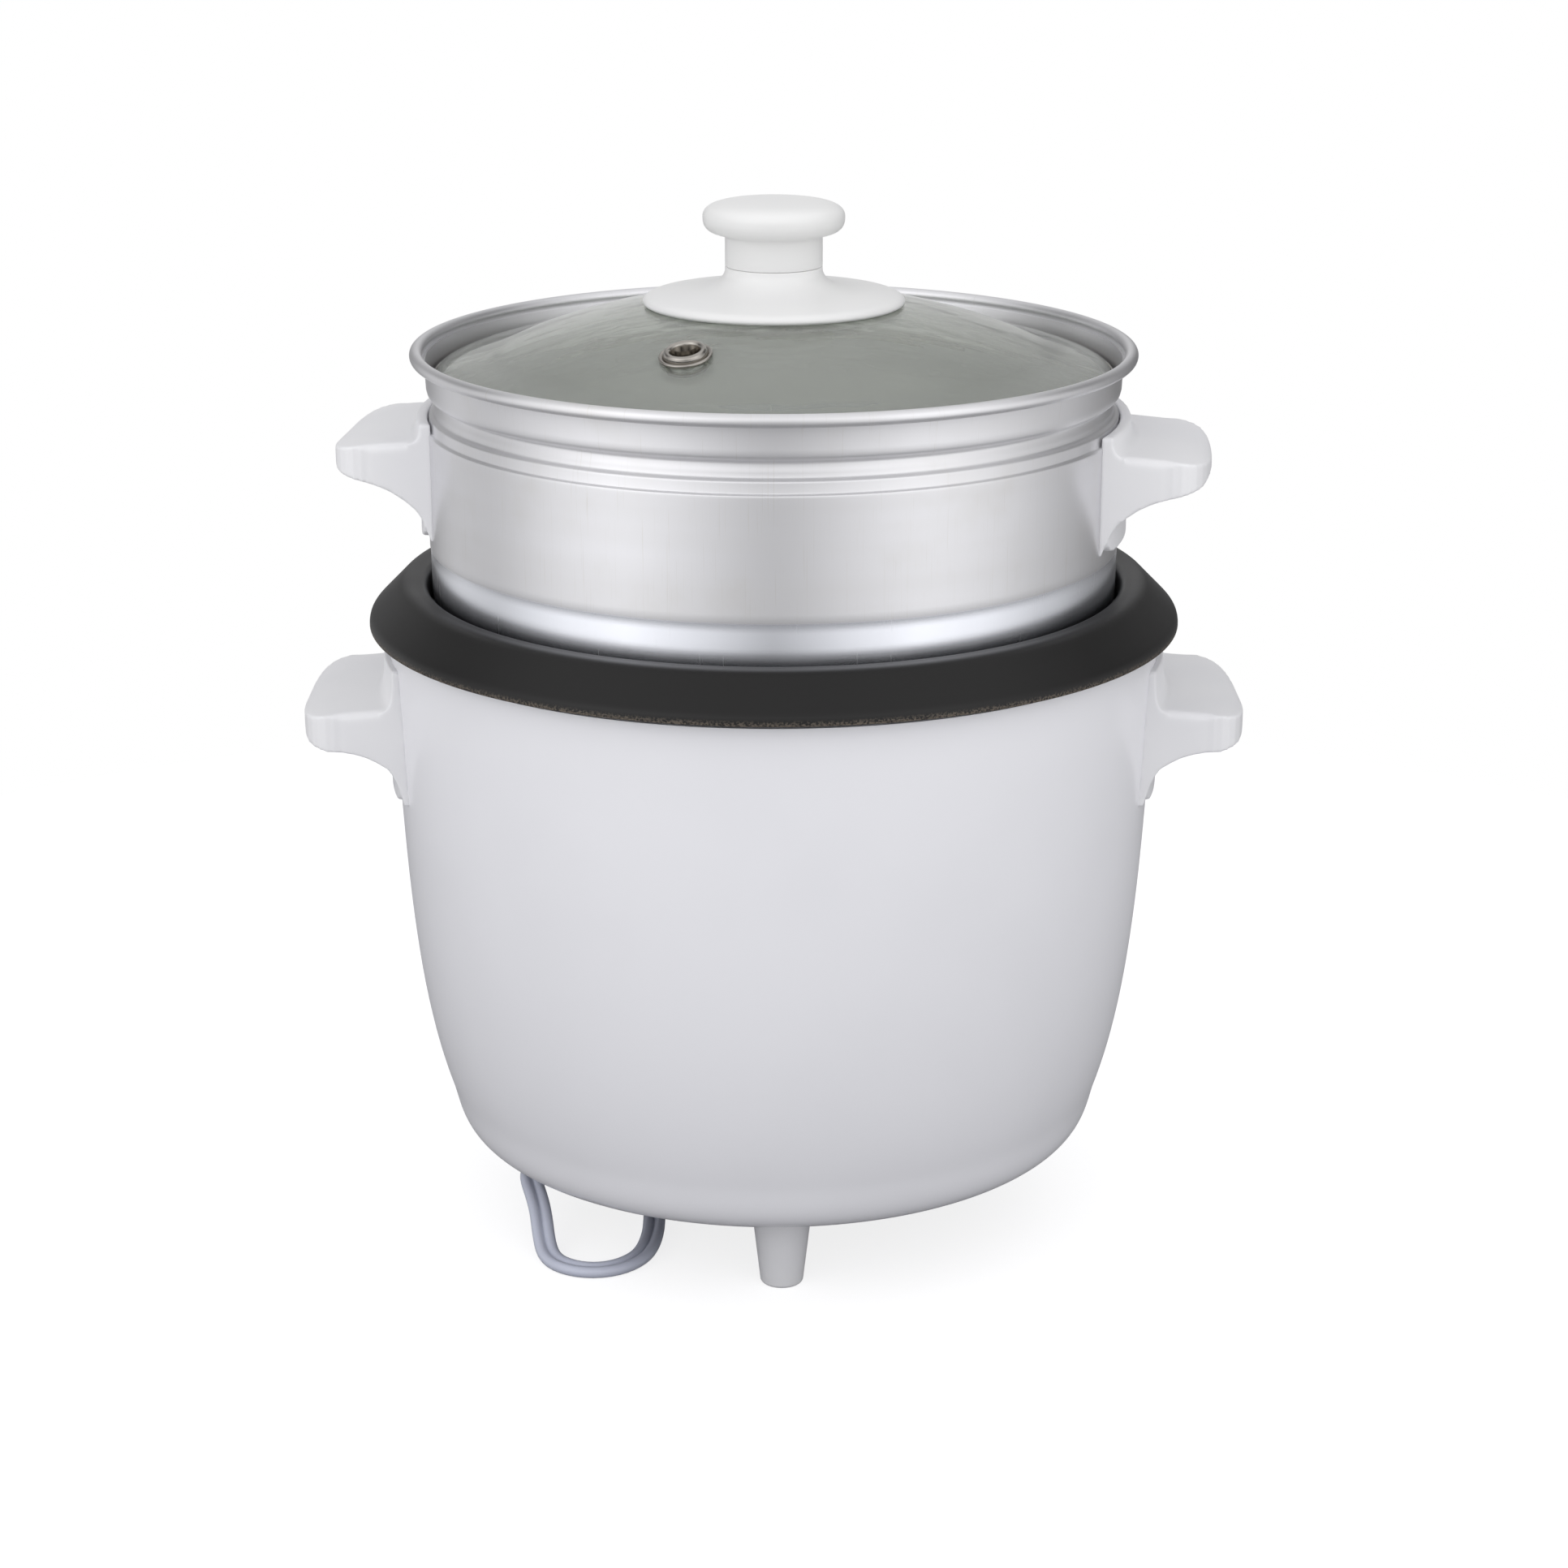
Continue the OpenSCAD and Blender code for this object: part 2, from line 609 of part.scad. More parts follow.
// Insulated leads between the cord, the terminal block and the parts that it feeds
wire_routes = [
    [[-51, 9, 24.6], [-50.6, 10, 26.5], [-48, 11.4, 28.4], [-44, 13, 29], [-40, 15, 29], [-39.5, 17.8, 29]],
    [[-49, 7, 24.6], [-48, 6.6, 26.5], [-43, 7, 28.2], [-36, 9, 29], [-31, 13, 29], [-30.5, 17.8, 29]],
    [[-39.5, 30.2, 29], [-39.5, 33, 29.2], [-44, 32, 30.5], [-49, 25, 32], [-48, 18, 33], [-46.4, 12.6, 33.8]],
    [[-30.5, 30.2, 29], [-29, 34, 29.2], [-22, 40, 30.5], [-15, 43.5, 34], [-13, 44.5, 38], [-12.6, 45, 41]],
    [[12.6, 45, 41], [14, 44, 38], [22, 36, 34], [31, 15, 32], [36, -12, 34], [34, -32, 38], [31.4, -36.9, 41.6]],
    [[10, -38.2, 41.4], [4, -36, 38], [-14, -30, 33], [-34, -22, 31.5], [-45, -16, 32], [-46.4, -12.8, 33.8]]];

module internal_wires() {
    color("#d9d2c0") for (route = wire_routes) tube(route, oval(1.8, 1.8, 6), up = [0.2, 0.1, 1]);
}

// ---- cord ----

relief_z = 14;
relief_tip = [-69, -13];
coil_at = [4, 17];          // middle of the stored coil
coil_r = [22.6, 42.5];      // inner and outer radius of the coil's solid
coil_h = 7;
plug_at = [-4, 74.5, 6.5];  // where the cord enters the plug

// The lead from the strain relief to the floor and back under the drum to the coil
cord_route = [[-69, -13, 14], [-70.6, -16.2, 14], [-71.4, -20, 13.9], [-71.4, -24.2, 13.6], [-70.6, -28.3, 13],
    [-69.5, -32.3, 11.9], [-68.4, -36.3, 10.3], [-67.5, -40.3, 8.2], [-66.8, -44.2, 5.8], [-66, -48, 3.6],
    [-64.8, -51.9, 2.2], [-62.7, -55.8, 1.7], [-59.6, -59.1, 1.7], [-55.7, -61.2, 1.7], [-51.4, -61.9, 1.7],
    [-47.1, -61.1, 1.7], [-43.3, -58.9, 1.7], [-40.2, -55.6, 1.7], [-38, -51.6, 1.7], [-36.6, -46.8, 1.7],
    [-35.7, -41, 1.7], [-35.2, -34, 1.7], [-35.2, -25, 1.7], [-35.2, -15, 1.7], [-35.2, 0, 1.7], [-35.2, 17, 1.7]];

// The end of the cord from the top of the coil to the plug
tail_route = [[-35.2, 17, 5.1], [-35.2, 28, 4.6], [-34.4, 38, 3.2], [-32.2, 47, 2.2], [-28.8, 55, 1.9], [-24.4, 62, 2.4],
    [-18.6, 68, 3.6], [-11.6, 72.4, 5.4], [-4, 74.5, 6.5]];

module strain_relief() {
    run = concat(relief_tip, [relief_z]) - concat(relief_at, [relief_z]);
    color(plastic) {
        translate([relief_at[0], relief_at[1], 8.2]) cylinder(r = 8, h = drum_floor_z - 8.2);
        translate([relief_at[0], relief_at[1], base_z - 1.6]) cylinder(r = 10.5, h = 1.6);
        translate([relief_at[0], relief_at[1], relief_z]) rotate([0, 90, atan2(run[1], run[0])])
            cylinder(r1 = 5.2, r2 = 4.2, h = norm(run));
    }
}

module power_cord() { color("#b9bccb") tube(cord_route, oval(cord_w, cord_t)); }

module cord_coil() {
    color("#b9bccb") translate([coil_at[0], coil_at[1], 0]) rotate_extrude()
        translate([coil_r[0], 0]) square([coil_r[1] - coil_r[0], coil_h]);
}

module cord_tail() { color("#b9bccb") tube(tail_route, oval(cord_w, cord_t)); }

module plug_body() {
    color("#d4d5da") translate(plug_at) {
        rotate([0, 90, 0]) cylinder(r1 = 4.2, r2 = 5.4, h = 12);
        translate([11, -12, -6.5]) hull() {
            for (y = [3, 21]) translate([3, y, 0]) cylinder(r = 3, h = 13, $fn = 32);
            translate([22, 0, 0]) cube([2, 24, 13]);
        }
    }
}

module plug_blades() {
    color(brass) translate(plug_at) for (y = [-6.35, 6.35]) difference() {
        translate([35, y - 0.75, -3.2]) cube([17, 1.5, 6.4]);
        translate([47, y - 2, 0]) rotate([-90, 0, 0]) cylinder(r = 1.6, h = 4);
    }
}

// ---- pot ----

module inner_pot() {
    color(nonstick) spun_sheet(pot_outline, -pot_t);
}

// ---- steamer ----

module steamer_pan() {
    color(aluminium) difference() {
        union() {
            spun_sheet(steamer_outline, steamer_t);
            rotate_extrude() translate([bead_r, bead_z]) circle(r = 1.8, $fn = 32);
        }
        for (ring = [1:5]) for (i = [0:6 * ring - 1]) rotate(i * 60 / ring)
            translate([ring * 14, 0, steamer_floor_z - 1]) cylinder(r = 2.5, h = 4, $fn = 24);
        translate([0, 0, steamer_floor_z - 1]) cylinder(r = 2.5, h = 4, $fn = 24);
        at_grip_screws(steamer_grip_z, steamer_turn) translate([0, 0, 85]) cylinder(r = 1.9, h = 30);
    }
}

steamer_wall = [[95, 180], [steamer_r, 201.8], [steamer_r, 220], [steamer_r + 0.1, 234.5],
    [steamer_r + 0.1, 250]];
steamer_rise = 6.8;

module steamer_grip() {
    grip(steamer_grip_r, steamer_grip_w, 98.4, steamer_grip_z, 1.8, 0, steamer_rise, steamer_wall);
}

module steamer_handle_left() { color(plastic) rotate(steamer_turn) mirror([1, 0, 0]) steamer_grip(); }
module steamer_handle_right() { color(plastic) rotate(steamer_turn) steamer_grip(); }

module steamer_screws() {
    color(steel) at_grip_screws(steamer_grip_z, steamer_turn) grip_screw(96.65);
}

// ---- lid ----

dome_z = glass_edge_z - sqrt(dome_r * dome_r - glass_r * glass_r);  // height of the dome's centre
glass_bottom_z = 245.5;
screw_r = 2.2;
vent_at = [-23.3, -53.5];

// Stands its children on the dome's outside at the vent, with their Z along the glass's normal
module at_vent() {
    reach = norm(vent_at);
    translate([0, 0, dome_z]) rotate([0, asin(reach / dome_r), atan2(vent_at[1], vent_at[0])])
        translate([0, 0, dome_r]) children();
}

module lid_glass() {
    inner_r = dome_r - glass_t;
    inner_edge = sqrt(inner_r * inner_r - pow(glass_bottom_z - dome_z, 2));
    // points of an arc of the dome between two distances from the axis
    function dome_arc(r, from, to, n) = [for (i = [0:n]) let (x = from + (to - from) * i / n)
        [x, dome_z + sqrt(r * r - x * x)]];
    color([0.75, 0.8, 0.78, 0.4]) difference() {
        rotate_extrude() polygon(concat(dome_arc(dome_r, screw_r + 0.3, glass_r, 16),
            [[glass_r, glass_bottom_z]], dome_arc(inner_r, inner_edge, screw_r + 0.3, 16)));
        at_vent() translate([0, 0, -12]) cylinder(r = 5.1, h = 20);
    }
}

module lid_band() {
    color(steel) rotate_extrude() polygon([[91.8, 244.4], [95, 244.4], [95.6, 245.2], [95.6, 248.7],
        [94.9, 249.5], [93.8, 249.7], [glass_r + 0.1, 249.2], [glass_r + 0.1, glass_bottom_z - gap],
        [91.8, glass_bottom_z - gap]]);
}

module vent_grommet() {
    color(steel) at_vent() rotate_extrude() polygon([[4, -6.2], [6.6, -6.2], [6.6, -5.2], [4.9, -4.9],
        [4.9, 0.2], [vent_r, 0.2], [vent_r, 0.8], [vent_r - 0.6, 1.3], [6, 1.5], [5.4, 2.3], [4.8, 2.6],
        [4.2, 2.4], [4, 1.9]]);
}

seam_z = 278.8;             // where the knob meets its skirt
neck_r = 13.6;

module knob_skirt() {
    base = arc([0, dome_z], dome_r + 0.1, 90 - asin(2.3 / dome_r), 90 - asin((skirt_r - 1) / dome_r), 6);
    color(plastic) rotate_extrude() polygon(concat(base,
        curve([skirt_r - 0.4, 268.6], [skirt_r + 0.3, 269.4], [skirt_r - 0.6, 270.6], [skirt_r - 3, 271], 4),
        curve([skirt_r - 8, 271.7], [21, 272.3], [neck_r + 1, 273.2], [neck_r, 277.6], 6),
        [[neck_r, seam_z], [2.3, seam_z]]));
}

module lid_knob() {
    wide_z = knob_top_z - 4.6;
    color(plastic) rotate_extrude() polygon(concat([[2.3, seam_z + 0.3], [neck_r - 0.3, seam_z + 0.3],
            [neck_r, seam_z + 0.6], [neck_r, knob_top_z - 9.9]],
        curve([neck_r + 0.8, knob_top_z - 9.4], [neck_r + 4, knob_top_z - 8.9], [knob_r, wide_z - 3], [knob_r, wide_z], 6),
        curve([knob_r, wide_z + 0.3], [knob_r, knob_top_z - 1.4], [knob_r - 3.6, knob_top_z - 0.2], [10, knob_top_z], 6),
        [[0, knob_top_z], [0, 287], [2.3, 287]]));
}

module lid_screw() {
    under = dome_z + dome_r - glass_t - 1.3;    // underside of the washer
    color(steel) {
        translate([0, 0, under - 2.4]) cylinder(r = 4.5, h = 2.4);
        translate([0, 0, under - 1]) cylinder(r = screw_r, h = 286.5 - under + 1);
    }
}

module lid_washer() {
    under = dome_z + dome_r - glass_t - 1.3;
    color("#c9c9c4") translate([0, 0, under]) difference() {
        cylinder(r = 9, h = 1);
        translate([0, 0, -1]) cylinder(r = 2.4, h = 3);
    }
}

// ---- drawing ----

outer_shell();
inner_liner();
base_plate();
foot_front();
foot_rear_left();
foot_rear_right();
foot_screws();
foot_nuts();
body_handle_left();
body_handle_right();
body_handle_screws();
heating_plate();
heating_element();
plate_screws();
warm_heater();
thermostat_cup();
sensor_cap();
ferrite_core();
sensor_spring();
magnet();
magnet_rod();
release_spring();
lever_bracket();
lever_pin();
cook_lever();
lever_knob();
main_switch();
switch_plunger();
control_panel();
cook_lens();
warm_lens();
neon_lamps();
thermal_fuse();
fuse_clip();
terminal_block();
internal_wires();
strain_relief();
power_cord();
cord_coil();
cord_tail();
plug_body();
plug_blades();
inner_pot();
steamer_pan();
steamer_handle_left();
steamer_handle_right();
steamer_screws();
lid_glass();
lid_band();
vent_grommet();
knob_skirt();
lid_knob();
lid_screw();
lid_washer();
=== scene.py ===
"""Looks of a drum rice cooker with a steamer pan and a glass lid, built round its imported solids.

Sizes are in millimetres and become metres where a mesh is made. Z is up, the floor is at
height 0, the controls are at +Y and the cord comes out from under the drum at -Y.
"""

import json
import logging
import math
from collections.abc import Callable, Sequence
from dataclasses import dataclass
from enum import StrEnum, auto

import bmesh
import bpy
from mathutils import Matrix, Vector

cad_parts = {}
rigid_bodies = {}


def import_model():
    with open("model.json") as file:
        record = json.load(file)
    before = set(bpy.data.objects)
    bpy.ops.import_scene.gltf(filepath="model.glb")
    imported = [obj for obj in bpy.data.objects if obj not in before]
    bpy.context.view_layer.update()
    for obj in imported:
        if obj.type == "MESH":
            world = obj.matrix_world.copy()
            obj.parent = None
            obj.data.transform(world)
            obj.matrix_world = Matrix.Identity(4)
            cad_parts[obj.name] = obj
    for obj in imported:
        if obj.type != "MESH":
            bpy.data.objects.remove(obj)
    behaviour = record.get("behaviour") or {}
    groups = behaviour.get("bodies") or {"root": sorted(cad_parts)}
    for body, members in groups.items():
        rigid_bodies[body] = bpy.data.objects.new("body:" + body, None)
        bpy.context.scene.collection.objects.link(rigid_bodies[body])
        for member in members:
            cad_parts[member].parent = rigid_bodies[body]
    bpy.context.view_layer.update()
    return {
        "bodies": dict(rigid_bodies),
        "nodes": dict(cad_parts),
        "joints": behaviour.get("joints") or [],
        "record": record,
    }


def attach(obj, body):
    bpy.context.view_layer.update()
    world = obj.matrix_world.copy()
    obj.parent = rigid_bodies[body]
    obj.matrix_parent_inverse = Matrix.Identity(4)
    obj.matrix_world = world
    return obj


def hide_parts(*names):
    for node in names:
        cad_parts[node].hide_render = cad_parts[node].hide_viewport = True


LOG = logging.getLogger("rice_cooker")
MM = 0.001
TINY = 1e-6
UP = Vector((0, 0, 1))
WHITE = (1.0, 1.0, 1.0, 1.0)
ROUND = 192  # segments round a large shell
KNOB_ROUND = 128  # segments round the lid's knob
SMALL_ROUND = 64  # segments round a small turned piece
HOLE_ROUND = 20  # segments round a steam hole
CRISP = 38.0  # edges that turn more than this many degrees stay crisp
STEPS_A_TURN = 24  # points in one turn of the cord's coil
EASE_STEPS = 4  # stretches that round one corner of an outline
MOULD_GRAIN = 0.45  # size of a moulded piece's faces, in millimetres
MOULD_PASSES = 5  # how often a moulded piece is smoothed
HANDLE_SINK = 0.4  # how far the handles sink into what they are screwed to, in millimetres

Point = tuple[float, float]
Spot = tuple[float, float, float]
Outline = list[Point]
Route = Sequence[Spot]
Colour = tuple[float, float, float, float]
Piece = bpy.types.Object
Inputs = dict[str | int, object]


# ---- outlines ----


def polar(radius: float, degrees: float) -> Point:
    """Returns the point at a distance and an angle from the origin."""
    return radius * math.cos(math.radians(degrees)), radius * math.sin(math.radians(degrees))


def moved(x: float, y: float, z: float) -> Matrix:
    """Returns a move by so many millimetres."""
    return Matrix.Translation((x * MM, y * MM, z * MM))


def curve(a: Point, b: Point, c: Point, d: Point, steps: int) -> Outline:
    """Returns points of a cubic curve from a to d, drawn towards b and c.

    Args:
        a: First point.
        b: Point that the start heads for.
        c: Point that the end comes from.
        d: Last point.
        steps: Number of stretches.

    Returns:
        The curve's points, both ends included.
    """
    made = []
    for i in range(steps + 1):
        t = i / steps
        s = 1 - t
        w = (s**3, 3 * s * s * t, 3 * s * t * t, t**3)
        made.append(tuple(w[0] * a[k] + w[1] * b[k] + w[2] * c[k] + w[3] * d[k] for k in (0, 1)))
    return made


def arc(centre: Point, radius: float, start: float, end: float, steps: int) -> Outline:
    """Returns points of a circular arc between two angles in degrees, both ends included."""
    spots = [polar(radius, start + (end - start) * i / steps) for i in range(steps + 1)]
    return [(centre[0] + x, centre[1] + y) for x, y in spots]


def beside(outline: Outline, offset: float) -> Outline:
    """Returns an open outline moved to the left of its own direction.

    Args:
        outline: The points to move.
        offset: How far they move.

    Returns:
        As many points as were given.
    """
    made = []
    last = len(outline) - 1
    for i, (x, y) in enumerate(outline):
        a, b = outline[max(i - 1, 0)], outline[min(i + 1, last)]
        dx, dy = b[0] - a[0], b[1] - a[1]
        size = math.hypot(dx, dy)
        made.append((x - offset * dy / size, y + offset * dx / size))
    return made


def smooth_step(t: float) -> float:
    """Returns 0 below 0 and 1 above 1, with a smooth rise between them."""
    t = min(max(t, 0), 1)
    return t * t * (3 - 2 * t)


def eased(outline: Outline, radius: float, least_turn: float = 25.0) -> Outline:
    """Returns a closed outline with its sharp corners rounded, apart from those on the axis.

    Args:
        outline: The closed outline, without its first point repeated.
        radius: How far from a corner the rounding starts, where there is room for it.
        least_turn: Corners that turn less than this many degrees stay as they are.

    Returns:
        The rounded outline.
    """
    made: Outline = []
    count = len(outline)
    for i in range(count):
        before, here, after = (Vector(outline[(i + k) % count]) for k in (-1, 0, 1))
        into, out = here - before, after - here
        shortest = min(into.length, out.length)
        if here.x < TINY or shortest < TINY or into.angle(out) < math.radians(least_turn):
            made.append(tuple(here))
            continue
        room = min(radius, shortest * 0.48)
        start, end = here - into.normalized() * room, here + out.normalized() * room
        for k in range(EASE_STEPS + 1):
            t = k / EASE_STEPS
            made.append(tuple(start * (1 - t) ** 2 + here * 2 * t * (1 - t) + end * t * t))
    return made


# ---- meshes ----


def merged(name: str, meshes: Sequence[bpy.types.Mesh], weld: float = 1e-7, crisp: float = CRISP) -> Piece:
    """Puts meshes into the scene as one piece, smoothly shaded apart from its crisp edges.

    Args:
        name: The piece's name.
        meshes: What it is made of.
        weld: Corners nearer to each other than this, in metres, become one.
        crisp: Edges that turn more than this many degrees stay crisp.

    Returns:
        The new object.
    """
    shaper = bmesh.new()
    for mesh in meshes:
        shaper.from_mesh(mesh)
    bmesh.ops.remove_doubles(shaper, verts=shaper.verts, dist=weld)
    bmesh.ops.recalc_face_normals(shaper, faces=shaper.faces)
    whole = bpy.data.meshes.new(name)
    shaper.to_mesh(whole)
    shaper.free()
    shade(whole, crisp)
    piece = bpy.data.objects.new(name, whole)
    bpy.context.scene.collection.objects.link(piece)
    return piece


def shade(mesh: bpy.types.Mesh, crisp: float = CRISP) -> None:
    """Shades a mesh smoothly, apart from edges that turn more than crisp degrees."""
    mesh.shade_smooth()
    mesh.set_sharp_from_angle(angle=math.radians(crisp))


def mesh_piece(
    name: str, points: Sequence[Sequence[float]], faces: Sequence[Sequence[int]], crisp: float = CRISP
) -> Piece:
    """Makes a piece from its corners and faces.

    Args:
        name: The piece's name.
        points: Its corners, in metres.
        faces: Its faces, as indices of corners.
        crisp: Edges that turn more than this many degrees stay crisp.

    Returns:
        The new object.
    """
    mesh = bpy.data.meshes.new(name)
    mesh.from_pydata([tuple(p) for p in points], [], [tuple(f) for f in faces])
    return merged(name, [mesh], crisp=crisp)


def lathe(name: str, outline: Outline, place: Matrix | None = None, segments: int = ROUND) -> Piece:
    """Turns a closed outline round the Z axis.

    Args:
        name: The piece's name.
        outline: Distances from the axis and heights, in millimetres.
        place: Where the turned piece goes, in metres, or None to leave it on the axis.
        segments: Number of segments round the axis.

    Returns:
        The new object.
    """
    place = place or Matrix.Identity(4)
    points: list[Vector] = []
    rings: list[list[int]] = []
    for r, z in outline:
        around = 1 if r < TINY else segments
        rings.append([len(points) + i for i in range(around)])
        points += [place @ (Vector((*polar(r, 360 * i / segments), z)) * MM) for i in range(around)]
    faces = []
    for low, high in zip(rings, rings[1:] + rings[:1]):
        if len(low) == len(high) == 1:
            continue
        for i in range(segments):
            j = (i + 1) % segments
            corners = [low[i % len(low)], low[j % len(low)], high[j % len(high)], high[i % len(high)]]
            faces.append(list(dict.fromkeys(corners)))
    return mesh_piece(name, points, faces)


def sweep(name: str, path: Sequence[Vector], section: Outline) -> Piece:
    """Draws a closed section along a path that nowhere runs straight up.

    Args:
        name: The piece's name.
        path: Centres of the rings, in metres.
        section: The section's points, sideways and upwards, in millimetres.

    Returns:
        The new object.
    """
    points: list[Vector] = []
    last = len(path) - 1
    for i, centre in enumerate(path):
        ahead = (path[min(i + 1, last)] - path[max(i - 1, 0)]).normalized()
        side = ahead.cross(UP).normalized()
        top = side.cross(ahead)
        points += [centre + (side * w + top * t) * MM for w, t in section]
    n = len(section)
    faces = [
        [i * n + j, (i + 1) * n + j, (i + 1) * n + (j + 1) % n, i * n + (j + 1) % n]
        for i in range(last)
        for j in range(n)
    ]
    faces += [list(range(n)), list(range(last * n, last * n + n))]
    return mesh_piece(name, points, faces, crisp=60)


def smooth_route(route: Route, between: int) -> list[Vector]:
    """Returns a smooth line through a route's points.

    Args:
        route: The points, in millimetres.
        between: Number of stretches between two of them.

    Returns:
        The line's points, in metres.
    """
    given = [Vector(p) * MM for p in route]
    padded = [given[0] * 2 - given[1], *given, given[-1] * 2 - given[-2]]
    made = []
    for a, b, c, d in zip(padded, padded[1:], padded[2:], padded[3:]):
        for k in range(between):
            t = k / between
            bend, twist = 2 * a - 5 * b + 4 * c - d, 3 * b - a - 3 * c + d
            made.append(0.5 * (2 * b + (c - a) * t + bend * t * t + twist * t**3))
    return [*made, given[-1]]


def apply_modifiers(piece: Piece) -> None:
    """Replaces a piece's mesh by what its modifiers make of it.

    Args:
        piece: The piece, which keeps its object.
    """
    made = bpy.data.meshes.new_from_object(piece.evaluated_get(bpy.context.evaluated_depsgraph_get()))
    piece.modifiers.clear()
    piece.data = made


def drilled(piece: Piece, drills: Sequence[Piece]) -> Piece:
    """Cuts holes into a piece and removes the drills.

    Args:
        piece: The piece to cut.
        drills: Closed meshes that don't touch each other.

    Returns:
        The same piece.
    """
    tool = joined("drill", drills)
    cut = piece.modifiers.new("holes", "BOOLEAN")
    cut.operation, cut.solver, cut.object = "DIFFERENCE", "EXACT", tool
    apply_modifiers(piece)
    bpy.data.objects.remove(tool)
    shade(piece.data)
    return piece


def joined(name: str, parts: Sequence[Piece]) -> Piece:
    """Joins pieces into one new piece and removes them.

    Args:
        name: The new piece's name.
        parts: The pieces to join.

    Returns:
        The new piece.
    """
    whole = merged(name, [part.data for part in parts])
    bpy.data.batch_remove(parts)
    return whole


def square_tip(handle: Piece, tip: float, turn: float) -> None:
    """Draws the rounded end of a handle out sideways towards its two corners.

    Args:
        handle: The handle, which points away from the Z axis.
        tip: Distance from the axis to its end, in millimetres.
        turn: How far it is turned from the X axis, in degrees.
    """
    tip_length, wider = 14.0, 0.36
    back = Matrix.Rotation(math.radians(-turn), 2)
    for corner in handle.data.vertices:
        x, y = back @ corner.co.xy
        along = min((abs(x) / MM - tip) / tip_length + 1, 1)
        if along > 0:
            corner.co.xy = Vector((x, y * (1 + wider * along**2))) @ back


# ---- shader nodes ----


def linear(code: str) -> Colour:
    """Changes a screen colour into a linear one.

    Args:
        code: The colour, such as "#dedee2".

    Returns:
        Its red, green, blue and alpha.
    """
    parts = [int(code[i : i + 2], 16) / 255 for i in (1, 3, 5)]
    red, green, blue = (c / 12.92 if c <= 0.04045 else ((c + 0.055) / 1.055) ** 2.4 for c in parts)
    return red, green, blue, 1.0


def operator(operation: str, swapped: bool = False) -> Callable[["Value", "Value | float"], "Value"]:
    """Makes an operator of Value that adds a Math node.

    Args:
        operation: The node's operation.
        swapped: Whether the operands change places.

    Returns:
        The operator.
    """

    def combine(mine: "Value", other: "Value | float") -> "Value":
        """Adds the node."""
        return mine.graph.maths(operation, *((other, mine) if swapped else (mine, other)))

    return combine


class Value:
    """A node's output that takes part in Python arithmetic."""

    __add__ = __radd__ = operator("ADD")
    __mul__ = __rmul__ = operator("MULTIPLY")
    __sub__ = operator("SUBTRACT")
    __rsub__ = operator("SUBTRACT", swapped=True)
    __truediv__ = operator("DIVIDE")
    __rtruediv__ = operator("DIVIDE", swapped=True)

    def __init__(self, graph: "Graph", output: bpy.types.NodeSocket) -> None:
        """Wraps an output of a node in graph."""
        self.graph = graph
        self.output = output

    def __abs__(self) -> "Value":
        """Drops the sign."""
        return self.graph.maths("ABSOLUTE", self)

    def over(self, low: float, high: float) -> "Value":
        """Returns 0 below low and 1 above high, with a smooth rise between them."""
        inputs = {"Value": self, "From Min": low, "From Max": high, "To Min": 0.0, "To Max": 1.0}
        return self.graph.node("MapRange", {"interpolation_type": "SMOOTHSTEP"}, inputs)


